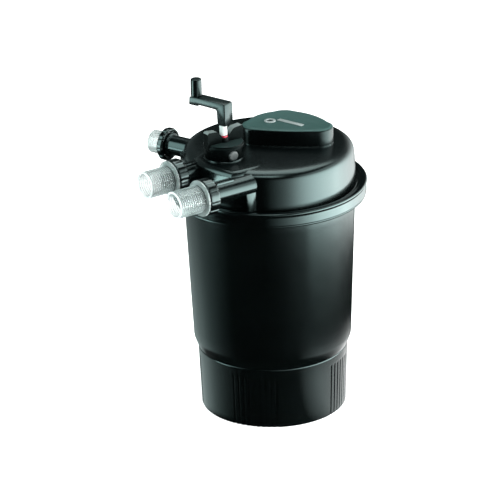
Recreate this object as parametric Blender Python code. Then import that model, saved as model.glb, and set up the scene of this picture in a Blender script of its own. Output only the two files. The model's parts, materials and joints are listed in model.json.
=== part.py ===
"""Pressurised pond filter: tank, ringed head with three ports, selector valve,
hand crank that turns the foam cartridge, and an ultraviolet lamp unit.

Frame: +Z up, origin at the centre of the foot's underside. Sizes are in
millimetres and become metres in add_object. The hose ports A and B point along
-Y; the rinse port C points near -X.
"""
import math
from collections import namedtuple

import bmesh
import bpy
from mathutils import Matrix, Vector

MM = 0.001
SEG = 48                      # facets round the large turned pieces

# ---------------------------------------------------------------- dimensions
# Foot skirt
FOOT_R_BOTTOM = 143.0
FOOT_R_TOP = 147.5
FOOT_H = 125.0
FOOT_FLOOR = 4.0
FOOT_PANELS = (-130.0, -49.6, 33.5, 130.4)   # plan directions of the grooved panels, degrees
FOOT_GROOVES = 9              # per panel
FOOT_PITCH = 4.3              # degrees from groove to groove
FOOT_PLAIN_STEPS = 9          # divisions of the plain wall between two panels
GROOVE_DEPTH = 2.4
GROOVE_HALF = 0.72            # half of a groove's width, degrees
GROOVE_FLANK = 0.05           # half of a groove flank's width, degrees
GROOVE_TOP = 108.0
GROOVE_RUNOUT = 2.5           # height over which the grooves fade out

# Tank and locking ring
TANK_R_LOW = 155.0            # at the shoulder
TANK_R_TOP = 166.5            # under the collar
TANK_Z_SHOULDER = 146.0
TANK_Z_TOP = 452.0
TANK_WALL = 4.5
COLLAR_R = 178.6
COLLAR_Z0 = 441.0
RING_R_BOTTOM = 186.0
RING_R_TOP = 190.0            # widest part of the object
RING_R_INNER = 179.2
RING_R_SEAT = 184.1
RING_LIP_R = 178.5
RING_Z0 = 437.3
RING_Z1 = 467.6
RING_LIP_Z = 461.5

# Head
HEAD_FLANGE_R = 183.4
HEAD_FLANGE_Z0 = 452.7
HEAD_FLANGE_Z1 = 461.0
HEAD_R_LOW = 168.0
HEAD_TOP = 543.6
PAD_TOP = 545.2               # top of the valve housing and of the cover's pad

# Gear drive: the pinion's axis is shared by crank, selector and valve
GEAR_MODULE = 5.0
GEAR_TEETH = 36
PINION_TEETH = 9
GEAR_Z0, GEAR_Z1 = 428.0, 436.0
TOOTH_ADDENDUM = 0.85         # in modules
TOOTH_DEDENDUM = 1.15         # in modules
TOOTH_ROOT_HALF = 0.30        # half width at the root, share of the pitch
TOOTH_TIP_HALF = 0.085        # half width at the tip, share of the pitch
DRIVE_CENTRES = GEAR_MODULE * (GEAR_TEETH + PINION_TEETH) / 2
VALVE_X = 12.1
VALVE_Y = -math.sqrt(DRIVE_CENTRES ** 2 - VALVE_X ** 2)

# Ports, union nuts and hose tails
PORT_Z = 516.0
PORT_R = 19.5
PORT_BORE = 15.5
PORT_LIP_R = 24.5
BORE_PHASE = 0.071            # turns the bores' facets off the other pieces' facets
HosePort = namedtuple("HosePort", "letter x face_y root_y bore_y bore_len"
                                  " tail_r tail_bore tail_end rib_x rib_y")
HOSE_PORTS = (
    HosePort("a", x=107.0, face_y=-209.0, root_y=-115.0, bore_y=-60.0, bore_len=170.0,
             tail_r=26.6, tail_bore=22.4, tail_end=82.0, rib_x=(99, 113), rib_y=(-196, -158)),
    HosePort("b", x=-12.0, face_y=-199.0, root_y=-90.0, bore_y=-100.0, bore_len=120.0,
             tail_r=26.2, tail_bore=22.2, tail_end=79.0, rib_x=(-20, -5), rib_y=(-189, -152)),
)
TAIL_START = 3.0              # tail flange's distance beyond the port face
TAIL_FLANGE_R = 29.4
TAIL_FLANGE_T = 3.6
TAIL_NECK = 25.0              # from the flange to the first rib
TAIL_RIBS = 4
NUT_SETBACK = 3.0             # a nut begins this far behind the port face
NUT_R = 35.5
NUT_LEN = 24.0
NUT_LANDS = 11
NUT_GROOVE = 1.7
NUT_CHAMFER = 2.4             # length of a nut's end chamfers
HOSE_COLLAR_GAP = 0.4
HOSE_COLLAR_T = 3.6

RINSE_ANGLE = math.radians(202.0)
RINSE_LIP_R = 23.5
RINSE_NUT_START = Vector((-158.0, -122.0, 518.0))
RINSE_REACH = 150.0           # from the inner end of port C's axis to its nut

# Selector knob and crank
KNOB_R = 40.0
KNOB_Z0 = 545.6
KNOB_Z1 = 575.0
BLADE_HALF = KNOB_R + 0.6
BLADE_TOP = 601.0
BLADE_T = 15.0
BUTTON_START = 33.6           # button's inner end, from the valve axis
RING_SEAT_Z = 581.0           # step in the knob's bore, below the pointer ring
ARM_ANGLE = math.radians(196.0)
ARM_LEN = 65.0
ARM_Z0 = 608.0
ARM_UNDER = 638.4             # underside of the arm
ARM_Z = 653.0
ARM_DROP = 1.0                # fall of the top from hub to grip
ARM_W = 24.0
ARM_OFFSET = 3.0              # sideways shift of the arm off the valve axis
GRIP_Z0 = ARM_Z - ARM_DROP + 0.5

# Foam cartridge
FOAM_Z0, FOAM_Z1 = 64.4, 420.0
FOAM_RINGS = 4
FOAM_GAP = 0.2                # at each end of a ring
FOAM_R_IN, FOAM_R_OUT = 29.8, 113.0

# Lamp cover: a rounded triangle in its own plan axes u and v
COVER_Z0 = KNOB_Z0
COVER_Z1 = 578.0
COVER_WALL = 3.4
COVER_MID = Vector((27.4, 24.7))
COVER_U = Vector((0.67, 0.742)).normalized()
COVER_V = Vector((-COVER_U.y, COVER_U.x))
# (u, v) of the corner's centre, corner radius, bulge of the side that follows
COVER_CORNERS = (
    ((-59.0, 8.0), 30.0, 4.0),
    ((59.0, 8.0), 30.0, 8.0),
    ((-12.0, 56.0), 36.0, 8.0),
)
COVER_SIDE_STEPS = 5
COVER_CORNER_STEPS = 6
BEZEL_CENTRE = (-14.6, 14.7, 0)
BADGE_CENTRE = (17.4, 40.7, 0)
BADGE_TURN = math.radians(18.0)

# Shared axes
MINUS_Y = Vector((0, -1, 0))
RINSE_DIR = Vector((math.cos(RINSE_ANGLE), math.sin(RINSE_ANGLE), 0))
RINSE_INNER = RINSE_NUT_START - RINSE_DIR * RINSE_REACH
VALVE_AT = Matrix.Translation((VALVE_X, VALVE_Y, 0))


# ------------------------------------------------------------------- helpers
def clear_scene():
    for ob in list(bpy.data.objects):
        bpy.data.objects.remove(ob, do_unlink=True)
    for mesh in list(bpy.data.meshes):
        bpy.data.meshes.remove(mesh)


def material(name, colour, rough, metallic=0.0, clear=0.0):
    mat = bpy.data.materials.new(name)
    mat.use_nodes = True
    inputs = mat.node_tree.nodes["Principled BSDF"].inputs
    inputs["Base Color"].default_value = (*colour, 1.0)
    inputs["Roughness"].default_value = rough
    inputs["Metallic"].default_value = metallic
    inputs["Transmission Weight"].default_value = clear
    mat.diffuse_color = (*colour, 1.0)
    return mat


def face_outward(bm):
    bmesh.ops.recalc_face_normals(bm, faces=bm.faces)
    if bm.calc_volume(signed=True) < 0:
        bmesh.ops.reverse_faces(bm, faces=bm.faces)


def link_mesh(name, bm):
    """Move bm into a new object; bm is freed."""
    mesh = bpy.data.meshes.new(name)
    bm.to_mesh(mesh)
    bm.free()
    ob = bpy.data.objects.new(name, mesh)
    bpy.context.collection.objects.link(ob)
    return ob


def add_object(name, bm, mat, origin=(0, 0, 0), sharp=35.0):
    """Make the finished piece from bm, in millimetres in the shared frame.
    A moving piece turns about `origin`. sharp is the smoothing limit in
    degrees; None leaves the piece flat shaded."""
    origin = Vector(origin)
    face_outward(bm)
    for vert in bm.verts:
        vert.co = (vert.co - origin) * MM
    ob = link_mesh(name, bm)
    ob.location = origin * MM
    ob.data.materials.append(mat)
    if sharp is not None:
        ob.data.shade_smooth()
        ob.data.set_sharp_from_angle(angle=math.radians(sharp))


def placed(bm, at):
    if at is not None:
        bmesh.ops.transform(bm, matrix=at, verts=bm.verts)
    return bm


def loft(rings, closed=False):
    """Bridge equal-length rings of points; a ring of one point is a pole.
    closed joins the last ring to the first, otherwise the ends are capped."""
    bm = bmesh.new()
    rows = [[bm.verts.new(point) for point in ring] for ring in rings]
    pairs = list(zip(rows[:-1], rows[1:]))
    if closed:
        pairs.append((rows[-1], rows[0]))
    for low, high in pairs:
        if len(low) == 1 and len(high) == 1:
            continue
        count = max(len(low), len(high))
        for i in range(count):
            j = (i + 1) % count
            if len(low) == 1:
                bm.faces.new((low[0], high[i], high[j]))
            elif len(high) == 1:
                bm.faces.new((low[i], low[j], high[0]))
            else:
                bm.faces.new((low[i], low[j], high[j], high[i]))
    if not closed:
        for row in (rows[0], rows[-1]):
            if len(row) > 2:
                bm.faces.new(row)
    return bm


def polar(radius, angle, z):
    return Vector((radius * math.cos(angle), radius * math.sin(angle), z))


def circle(radius, z, seg, phase):
    if radius == 0:
        return [Vector((0, 0, z))]
    return [polar(radius, phase + 2 * math.pi * i / seg, z) for i in range(seg)]


def lathe(profile, seg=SEG, closed=False, at=None, phase=0.0):
    """Turn a profile of (radius, z) points about local Z."""
    return placed(loft([circle(r, z, seg, phase) for r, z in profile], closed), at)


def rod(radius, z0, z1, seg, at=None, phase=0.0):
    return lathe([(0, z0), (radius, z0), (radius, z1), (0, z1)], seg, at=at, phase=phase)


def tube(r_in, r_out, z0, z1, seg, at=None):
    return lathe([(r_in, z0), (r_out, z0), (r_out, z1), (r_in, z1)], seg, closed=True, at=at)


def prism(outline, z0, z1, at=None):
    bm = bmesh.new()
    base = bm.faces.new([bm.verts.new((x, y, z0)) for x, y in outline])
    grown = bmesh.ops.extrude_face_region(bm, geom=[base])["geom"]
    top = [item for item in grown if isinstance(item, bmesh.types.BMVert)]
    bmesh.ops.translate(bm, vec=(0, 0, z1 - z0), verts=top)
    return placed(bm, at)


def box(x0, x1, y0, y1, z0, z1, at=None):
    return prism([(x0, y0), (x1, y0), (x1, y1), (x0, y1)], z0, z1, at)


def aim(point, direction):
    """Matrix that takes local +Z to `direction` at `point`."""
    turn = Vector((0, 0, 1)).rotation_difference(Vector(direction).normalized())
    return Matrix.Translation(Vector(point)) @ turn.to_matrix().to_4x4()


def bevel(bm, width, test, segments):
    edges = [edge for edge in bm.edges if test(edge)]
    bmesh.ops.bevel(bm, geom=edges, offset=width, segments=segments,
                    profile=0.5, affect="EDGES", clamp_overlap=True)
    return bm


def edge_above(z, beyond=0.0):
    """Test for edges above height z whose middle is further out than `beyond`."""
    def test(edge):
        a, b = (vert.co for vert in edge.verts)
        return a.z > z and b.z > z and ((a.xy + b.xy) / 2).length > beyond
    return test


def combine(base, add=(), cut=()):
    """Join `add` to base, then take `cut` away, with EXACT Booleans. A result
    left with an open edge is made again with the hole-tolerant rule."""
    def helper(bm):
        face_outward(bm)
        return link_mesh("helper", bm)

    body = helper(base)
    helpers = [body]
    steps = [("UNION", bm) for bm in add] + [("DIFFERENCE", bm) for bm in cut]
    for operation, bm in steps:
        tool = helper(bm)
        tool.hide_render = True
        helpers.append(tool)
        boolean = body.modifiers.new("b", "BOOLEAN")
        boolean.operation = operation
        boolean.solver = "EXACT"
        boolean.object = tool
    for tolerant in (False, True):
        for boolean in body.modifiers:
            boolean.use_hole_tolerant = tolerant
        bpy.context.view_layer.update()
        depsgraph = bpy.context.evaluated_depsgraph_get()
        mesh = bpy.data.meshes.new_from_object(body.evaluated_get(depsgraph))
        result = bmesh.new()
        result.from_mesh(mesh)
        bpy.data.meshes.remove(mesh)
        bmesh.ops.remove_doubles(result, verts=result.verts, dist=0.002)
        bmesh.ops.dissolve_degenerate(result, edges=result.edges, dist=0.002)
        if tolerant or all(len(edge.link_faces) == 2 for edge in result.edges):
            break
        result.free()
    for ob in helpers:
        mesh = ob.data
        bpy.data.objects.remove(ob, do_unlink=True)
        bpy.data.meshes.remove(mesh)
    return result


def on_valve_axis(z):
    return Vector((VALVE_X, VALVE_Y, z))


def cover_outline(offset, z):
    """Lamp cover's plan outline at height z, grown outward by `offset`."""
    sides = []
    for k in range(3):
        centre_a, radius_a, bulge = COVER_CORNERS[k]
        centre_b, radius_b, _ = COVER_CORNERS[(k + 1) % 3]
        a, b = Vector(centre_a), Vector(centre_b)
        step = b - a
        normal = Vector((step.y, -step.x)).normalized()
        start = a + normal * (radius_a + offset)
        chord = b + normal * (radius_b + offset) - start
        # half of the angle by which the bulge turns the side's end
        lean = math.atan2(4 * bulge, chord.length) * 0.5
        sides.append((start, chord, normal, bulge, lean))
    points = []
    for k in range(3):
        start, chord, normal, bulge, lean = sides[k]
        for i in range(COVER_SIDE_STEPS + 1):
            t = i / COVER_SIDE_STEPS
            points.append(start + chord * t + normal * (4 * bulge * t * (1 - t)))
        _, _, next_normal, _, next_lean = sides[(k + 1) % 3]
        centre, radius, _ = COVER_CORNERS[(k + 1) % 3]
        angle0 = math.atan2(normal.y, normal.x) + lean
        angle1 = math.atan2(next_normal.y, next_normal.x) - next_lean
        while angle1 < angle0:
            angle1 += 2 * math.pi
        for i in range(1, COVER_CORNER_STEPS):
            angle = angle0 + (angle1 - angle0) * i / COVER_CORNER_STEPS
            out = Vector((math.cos(angle), math.sin(angle)))
            points.append(Vector(centre) + out * (radius + offset))
    return [Vector((*(COVER_MID + COVER_U * p.x + COVER_V * p.y), z)) for p in points]


# ----------------------------------------------------------------- materials
clear_scene()
BLACK = material("black_moulding", colour=(0.012, 0.014, 0.014), rough=0.32)
SATIN = material("black_satin", colour=(0.020, 0.024, 0.024), rough=0.42)
COVER_SATIN = material("cover_satin", colour=(0.030, 0.040, 0.040), rough=0.38)
RUBBER = material("black_rubber", colour=(0.010, 0.010, 0.010), rough=0.75)
CLEAR = material("clear_plastic", colour=(0.90, 0.93, 0.92), rough=0.12, clear=0.85)
WHITE = material("white_plastic", colour=(0.80, 0.80, 0.78), rough=0.40)
RED = material("red_plastic", colour=(0.55, 0.02, 0.05), rough=0.40)
SILVER = material("silver_plastic", colour=(0.60, 0.63, 0.62), rough=0.30, metallic=0.4)
STEEL = material("stainless_steel", colour=(0.55, 0.55, 0.55), rough=0.28, metallic=1.0)
QUARTZ = material("quartz_glass", colour=(0.90, 0.92, 0.95), rough=0.03, clear=0.95)
FOAM_BLUE = material("foam_blue", colour=(0.03, 0.09, 0.28), rough=0.95)
FOAM_RED = material("foam_red", colour=(0.33, 0.04, 0.04), rough=0.95)
GREY = material("grey_plastic", colour=(0.18, 0.19, 0.19), rough=0.45)
LENS = material("smoked_lens", colour=(0.02, 0.05, 0.05), rough=0.08)


# ------------------------------------------------------------- foot and tank
def foot_stations():
    """(angle in degrees, True on a groove floor) once round the foot."""
    stations = []
    reach = (FOOT_GROOVES - 1) / 2 * FOOT_PITCH
    half = reach + GROOVE_HALF
    following = FOOT_PANELS[1:] + (FOOT_PANELS[0] + 360.0,)
    for panel, next_panel in zip(FOOT_PANELS, following):
        for groove in range(FOOT_GROOVES):
            middle = panel - reach + groove * FOOT_PITCH
            stations += [(middle - GROOVE_HALF - GROOVE_FLANK, False),
                         (middle - GROOVE_HALF + GROOVE_FLANK, True),
                         (middle + GROOVE_HALF - GROOVE_FLANK, True),
                         (middle + GROOVE_HALF + GROOVE_FLANK, False)]
        plain = next_panel - panel - 2 * half
        stations += [(panel + half + plain * i / FOOT_PLAIN_STEPS, False)
                     for i in range(1, FOOT_PLAIN_STEPS)]
    return stations


def build_foot():
    stations = foot_stations()

    def ring(radius, z, depth=0.0):
        return [polar(radius - (depth if in_groove else 0), math.radians(angle), z)
                for angle, in_groove in stations]

    def wall(z, depth=0.0):
        return ring(FOOT_R_BOTTOM + (FOOT_R_TOP - FOOT_R_BOTTOM) * z / FOOT_H, z, depth)

    skirt = loft([
        [Vector((0, 0, 0))],
        wall(0, GROOVE_DEPTH),
        wall(GROOVE_TOP, GROOVE_DEPTH),
        wall(GROOVE_TOP + GROOVE_RUNOUT),
        wall(FOOT_H),
        ring(141.6, FOOT_H),
        ring(138.0, FOOT_FLOOR),
        [Vector((0, 0, FOOT_FLOOR))]])
    add_object("foot_skirt", skirt, BLACK, sharp=25)


def build_tank():
    shell = lathe([
        # outside, from the floor up to the collar
        (0, 4.4), (134.5, 4.4), (137.0, 7.5), (140.6, 125.4),
        (147.2, 125.4), (148.0, 126.6), (TANK_R_LOW, TANK_Z_SHOULDER),
        (TANK_R_TOP, 436.0), (TANK_R_TOP, COLLAR_Z0), (COLLAR_R, COLLAR_Z0),
        # top face with the O-ring's groove
        (COLLAR_R, TANK_Z_TOP), (174.6, TANK_Z_TOP), (174.6, 448.6), (168.4, 448.6),
        (168.4, TANK_Z_TOP), (161.5, TANK_Z_TOP),
        # inside, back down to the floor
        (161.5, 438.0), (TANK_R_LOW - TANK_WALL, TANK_Z_SHOULDER),
        (136.2, 123.0), (132.6, 9.0), (0, 9.0)])
    add_object("tank_shell", shell, BLACK)
    oring = [(169.0, 450.4), (171.5, 448.9), (174.0, 450.4), (171.5, 452.3)]
    add_object("head_oring", lathe(oring, closed=True), RUBBER)


def build_locking_ring():
    """Ring round the tank's collar and the head's flange."""
    add_object("locking_ring", lathe([
        (RING_R_INNER, RING_Z0), (RING_R_BOTTOM, RING_Z0),
        (RING_R_TOP, 465.0), (188.0, RING_Z1), (RING_LIP_R, RING_Z1),
        (RING_LIP_R, RING_LIP_Z), (RING_R_SEAT, RING_LIP_Z),
        (RING_R_SEAT, 452.3), (RING_R_INNER, 452.3)], closed=True), BLACK)


# ---------------------------------------------------------------- head shell
def dome_outside():
    return lathe([
        (0, HEAD_TOP), (80, 543.2), (118, 542.4), (140, 541.0), (151.5, 539.0),
        (159.6, 535.0), (164.2, 529.0), (165.9, 520.0), (HEAD_R_LOW, 472.0),
        (169.5, HEAD_FLANGE_Z1), (HEAD_FLANGE_R, HEAD_FLANGE_Z1),
        (HEAD_FLANGE_R, HEAD_FLANGE_Z0), (0, HEAD_FLANGE_Z0)])


def head_void():
    """Inside of the dome, less the valve chamber's wall and the lamp boss,
    which stay standing in it."""
    inside = lathe([
        (0, 539.0), (116, 537.6), (134, 536.0), (146.5, 532.0),
        (155.0, 526.4), (160.0, 519.0), (162.0, 511.0), (163.4, 470.0), (163.4, 440.0), (0, 440.0)])
    return combine(inside, cut=[rod(37.6, 478, 550, seg=36, at=VALVE_AT),
                                rod(25.6, 520, 560, seg=28)])


def port_deck():
    """Raised block on the -Y side, over the roots of ports A and B."""
    outline = [(100, -96), (99, -136), (94, -151), (62, -160), (28, -167),
               (2, -168), (-24, -160), (-34, -140), (-24, -60), (70, -60)]
    return bevel(prism(outline, 497.0, 542.6), 11.0, edge_above(530, beyond=134), 2)


def port_web():
    """Lower block from port B round towards port C."""
    outline = [(-16, -167), (-52, -160), (-94, -143), (-112, -122), (-96, -80), (-16, -80)]
    return bevel(prism(outline, 500.5, 527.0), 6.0, edge_above(520, beyond=134), 2)


def port_spigot(point, direction, start, face, lip_r):
    """Solid port along `direction`, with a lip at its end face."""
    return lathe([(0, start), (PORT_R, start), (PORT_R, face - 6), (lip_r, face - 5.9),
                  (lip_r, face), (0, face)], seg=20, at=aim(point, direction))


def port_bore(point, direction, length):
    return rod(PORT_BORE, 0, length, seg=16, at=aim(point, direction), phase=BORE_PHASE)


def build_head_shell():
    shell = combine(dome_outside(), add=[
        port_deck(),
        port_web(),
        rod(38, 476, PAD_TOP, seg=36, at=VALVE_AT),       # valve housing
        loft([cover_outline(-0.4, 516.0), cover_outline(-0.4, PAD_TOP)]),
        rod(26, 512, 544.6, seg=28)])                     # lamp boss
    spigots = [port_spigot((port.x, port.root_y, PORT_Z), MINUS_Y,
                           0, port.root_y - port.face_y, PORT_LIP_R) for port in HOSE_PORTS]
    spigots.append(port_spigot(RINSE_INNER, RINSE_DIR, 10, RINSE_REACH + NUT_SETBACK, RINSE_LIP_R))
    shell = combine(shell, add=spigots)
    leg = box(118.0, 124.4, -131.5, -115.2, 468.3, PORT_Z)    # upright on the +X side of port A
    ribs = [bevel(box(*port.rib_x, *port.rib_y, 528, 538.4), 2.0, edge_above(535), 1)
            for port in HOSE_PORTS]
    shell = combine(shell, add=[leg] + ribs)
    shell = combine(shell, cut=[head_void()])
    chamber = lathe([(0, 466), (33.5, 466), (33.5, 537.0), (11.6, 537.0), (11.6, 560), (0, 560)],
                    seg=36, at=VALVE_AT)
    shell = combine(shell, cut=[chamber, rod(21.0, 500, 570, seg=28)])
    bores = [port_bore((port.x, port.bore_y, PORT_Z), MINUS_Y, port.bore_len)
             for port in HOSE_PORTS]
    bores.append(port_bore(RINSE_INNER, RINSE_DIR, 170))
    add_object("head_shell", combine(shell, cut=bores), BLACK, sharp=30)


# ----------------------------------------------------- hose tails, nuts, stub
def hose_tail(face, port):
    """Ribbed tail along -Y, with a flange at the port."""
    root_r = port.tail_r - 1.6
    flange_end = TAIL_START + TAIL_FLANGE_T
    first_rib = TAIL_START + TAIL_NECK
    pitch = (port.tail_end - 3.0 - first_rib) / TAIL_RIBS
    profile = [(port.tail_bore, TAIL_START), (TAIL_FLANGE_R, TAIL_START),
               (TAIL_FLANGE_R, flange_end), (root_r, flange_end), (root_r, first_rib)]
    for i in range(TAIL_RIBS):
        profile += [(port.tail_r, first_rib + pitch * (i + 0.3)),
                    (port.tail_r - 1.0, first_rib + pitch * (i + 0.9))]
    profile += [(port.tail_r, port.tail_end), (port.tail_bore, port.tail_end)]
    return lathe(profile, seg=24, closed=True, at=aim(face, MINUS_Y))


def nut_ring(radius, z, groove=0.0):
    """Ring of points for a nut: lands with grooves of depth `groove` between."""
    width = 2 * math.pi / NUT_LANDS
    return [polar(radius - depth, width * (i + share), z)
            for i in range(NUT_LANDS)
            for share, depth in ((0.07, groove), (0.12, 0.0), (0.88, 0.0), (0.93, groove))]


def union_nut(face, direction, length, radius, mouth, socket, wall):
    """Nut from its socket end, behind the port face, to its mouth wall."""
    bm = loft([
        nut_ring(radius - 3.2, 0),
        nut_ring(radius, NUT_CHAMFER, NUT_GROOVE),
        nut_ring(radius, length - NUT_CHAMFER, NUT_GROOVE),
        nut_ring(radius - 3.4, length),
        nut_ring(mouth, length),
        nut_ring(mouth, length - wall),
        nut_ring(socket, length - wall),
        nut_ring(socket, 0)], closed=True)
    return placed(bm, aim(face - direction * NUT_SETBACK, direction))


def port_gasket(face, direction, radius):
    return tube(PORT_BORE + 0.5, radius, 0.3, 2.6, seg=28, at=aim(face, direction))


def build_hose_fittings(port):
    face = Vector((port.x, port.face_y, PORT_Z))
    add_object("port_gasket_" + port.letter, port_gasket(face, MINUS_Y, 23.6), RUBBER)
    add_object("hose_tail_" + port.letter, hose_tail(face, port), CLEAR)
    nut = union_nut(face, MINUS_Y, NUT_LEN, NUT_R, mouth=28.6, socket=30.4, wall=5.0)
    add_object("union_nut_" + port.letter, nut, BLACK, origin=face)
    collar_start = NUT_LEN - NUT_SETBACK + HOSE_COLLAR_GAP
    collar = tube(port.tail_r - 1.0, NUT_R - 0.6, collar_start, collar_start + HOSE_COLLAR_T,
                  seg=28, at=aim(face, MINUS_Y))
    add_object("clear_collar_" + port.letter, collar, CLEAR)


def build_rinse_fittings():
    """Port C: a short translucent stub under a smaller nut."""
    face = RINSE_INNER + RINSE_DIR * (RINSE_REACH + NUT_SETBACK)
    add_object("port_gasket_c", port_gasket(face, RINSE_DIR, 22.6), RUBBER)
    stub = [(17.0, 3.0), (26.4, 3.0), (26.4, 6.5), (21.2, 6.5),
            (22.2, 20.0), (22.2, 38.0), (17.0, 38.0)]
    add_object("rinse_stub", lathe(stub, seg=28, closed=True, at=aim(face, RINSE_DIR)), CLEAR)
    nut = union_nut(face, RINSE_DIR, 14.0, 32.5, mouth=23.4, socket=27.4, wall=4.0)
    add_object("union_nut_c", nut, BLACK, origin=face)


# ------------------------------------------------------------------ selector
def knob_blade():
    """Fin along Y with two horns and a saddle between them."""
    foot = KNOB_Z1 - 9
    outline = [                # (y from the valve axis, z)
        (-BLADE_HALF, foot), (BLADE_HALF, foot),
        (BLADE_HALF, BLADE_TOP - 3), (BLADE_HALF - 3.5, BLADE_TOP), (22.0, BLADE_TOP - 1.5),
        (12.0, 588.0), (0.0, 582.0), (-12.0, 588.0),
        (-22.0, BLADE_TOP - 1.5), (-BLADE_HALF + 3.5, BLADE_TOP), (-BLADE_HALF, BLADE_TOP - 3)]
    # outline x to world Y, outline y to world Z, thickness to world X
    at = Matrix(((0, 0, 1, VALVE_X), (1, 0, 0, VALVE_Y), (0, 1, 0, 0), (0, 0, 0, 1)))
    return prism(outline, -BLADE_T / 2, BLADE_T / 2, at)


def build_selector():
    """Knob, its side button, and the red ring in its hub."""
    button_angle = math.radians(-6)
    button_dir = Vector((math.cos(button_angle), math.sin(button_angle), 0))
    button_axis = on_valve_axis(557.0)
    button_at = aim(button_axis, button_dir)
    body = lathe([(0, KNOB_Z0), (35.5, KNOB_Z0), (KNOB_R, KNOB_Z0 + 11),
                  (KNOB_R, KNOB_Z1 - 5.0), (37.8, KNOB_Z1 - 2.6), (37.2, KNOB_Z1), (0, KNOB_Z1)],
                 seg=30, at=VALVE_AT)
    hub = lathe([(0, KNOB_Z1 - 4), (11.6, KNOB_Z1 - 4), (10.6, 584.0), (0, 584.0)],
                seg=24, at=VALVE_AT)
    stem = rod(10.9, 539.5, KNOB_Z0 + 2, seg=24, at=VALVE_AT)
    shaft_bore = lathe([(0, 520), (6.6, 520), (6.6, RING_SEAT_Z), (8.6, RING_SEAT_Z),
                        (8.6, 640), (0, 640)], seg=24, at=VALVE_AT, phase=0.05)
    pocket = rod(10.4, 31.0, 60, seg=24, at=button_at)
    knob = combine(body, add=[knob_blade(), hub, stem], cut=[shaft_bore, pocket])
    add_object("selector_knob", knob, SATIN, origin=on_valve_axis(KNOB_Z0), sharp=30)
    button = lathe([(0, BUTTON_START), (9.9, BUTTON_START), (9.9, 40.0), (8.4, 41.2), (0, 41.2)],
                   seg=24, at=button_at)
    add_object("lock_button", button, GREY, origin=button_axis + button_dir * BUTTON_START)
    ring_z0 = RING_SEAT_Z + 0.4
    add_object("pointer_ring", tube(6.9, 8.2, ring_z0, 587.0, seg=28, at=VALVE_AT),
               RED, origin=on_valve_axis(ring_z0))


def build_valve():
    """Hollow rotor with openings to -X, +X and +Y, and its O-ring."""
    z0 = 482
    hollow = lathe([(0, 470), (29.5, 470), (29.5, 529.0), (6.9, 529.0), (6.9, 550), (0, 550)],
                   seg=28, at=VALVE_AT)
    rotor = combine(rod(32.9, z0, 534.0, seg=28, at=VALVE_AT), cut=[
        hollow,
        box(-60, 60, -13, 13, 500, 526, at=VALVE_AT),
        box(-13, 13, 0, 60, 500, 526, at=VALVE_AT)])
    add_object("valve_rotor", rotor, GREY, origin=on_valve_axis(z0))
    oring = [(23.4, 535.4), (25.0, 534.3), (26.6, 535.4), (25.0, 536.6)]
    add_object("valve_oring", lathe(oring, seg=24, closed=True, at=VALVE_AT), RUBBER)


# --------------------------------------------------------------------- crank
def build_crank_arm(grip_at):
    outline = [                # (distance along the arm from the valve axis, z)
        (-12.5, ARM_Z0), (7.0, ARM_Z0), (8.6, ARM_UNDER),
        (ARM_LEN - 11, ARM_UNDER), (ARM_LEN - 9, ARM_UNDER - 3.0),
        (ARM_LEN + 12.5, ARM_UNDER - 3.6), (ARM_LEN + 11.0, ARM_Z - ARM_DROP - 1),
        (ARM_LEN - 12.5, ARM_Z - ARM_DROP), (-8.5, ARM_Z), (-12.0, ARM_Z - 3.5)]
    arm = prism(outline, ARM_OFFSET - ARM_W / 2, ARM_OFFSET + ARM_W / 2)

    def tip_edge(edge):
        """The two edges between the arm's end face and its sides."""
        a, b = (vert.co for vert in edge.verts)
        return min(a.x, b.x) > ARM_LEN + 9 and abs(a.z - b.z) < 0.01

    bevel(arm, 2.4, tip_edge, 2)
    # local x along the arm, local y up, local z across
    cos, sin = math.cos(ARM_ANGLE), math.sin(ARM_ANGLE)
    placed(arm, Matrix(((cos, 0, sin, VALVE_X), (sin, 0, -cos, VALVE_Y),
                        (0, 1, 0, 0), (0, 0, 0, 1))))
    arm = combine(arm, cut=[rod(4.0, 590, 630, seg=20, at=VALVE_AT),
                            rod(3.3, 632, 700, seg=20, at=grip_at)])
    add_object("crank_arm", arm, BLACK, origin=on_valve_axis(ARM_Z0))


def build_crank_grip(grip_at):
    """Headed steel pin and the hollow grip that turns on it."""
    origin = grip_at.translation + Vector((0, 0, GRIP_Z0))
    z = GRIP_Z0
    pin = [(0, 636), (3.0, 636), (3.0, z + 27.5), (4.6, z + 27.5), (4.6, z + 29.5), (0, z + 29.5)]
    add_object("grip_pin", lathe(pin, seg=16, at=grip_at), STEEL, origin=origin)
    grip = [(3.4, z), (9.9, z), (10.9, z + 1.0), (10.4, z + 32.8), (9.2, z + 34.4), (0, z + 35.0),
            (0, z + 30.2), (5.1, z + 30.2), (5.1, z + 27.1), (3.4, z + 27.1)]
    add_object("crank_grip", lathe(grip, seg=24, closed=True, at=grip_at), BLACK, origin=origin)


def build_crank_shaft():
    z0 = 426.6
    shaft = [(0, z0), (5.2, z0), (5.2, 590.6), (3.5, 590.6), (3.5, 629.0), (0, 629.0)]
    add_object("crank_shaft", lathe(shaft, seg=20, at=VALVE_AT), STEEL, origin=on_valve_axis(z0))
    bush_z0 = 588.0
    bush = [(5.5, bush_z0), (7.4, bush_z0), (7.4, 607.6), (3.8, 607.6), (3.8, 591.0), (5.5, 591.0)]
    add_object("shaft_bush", lathe(bush, seg=28, closed=True, at=VALVE_AT), WHITE,
               origin=on_valve_axis(bush_z0))


def build_crank():
    grip_at = Matrix.Translation((VALVE_X + math.cos(ARM_ANGLE) * ARM_LEN,
                                  VALVE_Y + math.sin(ARM_ANGLE) * ARM_LEN, 0))
    build_crank_arm(grip_at)
    build_crank_grip(grip_at)
    build_crank_shaft()


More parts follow.
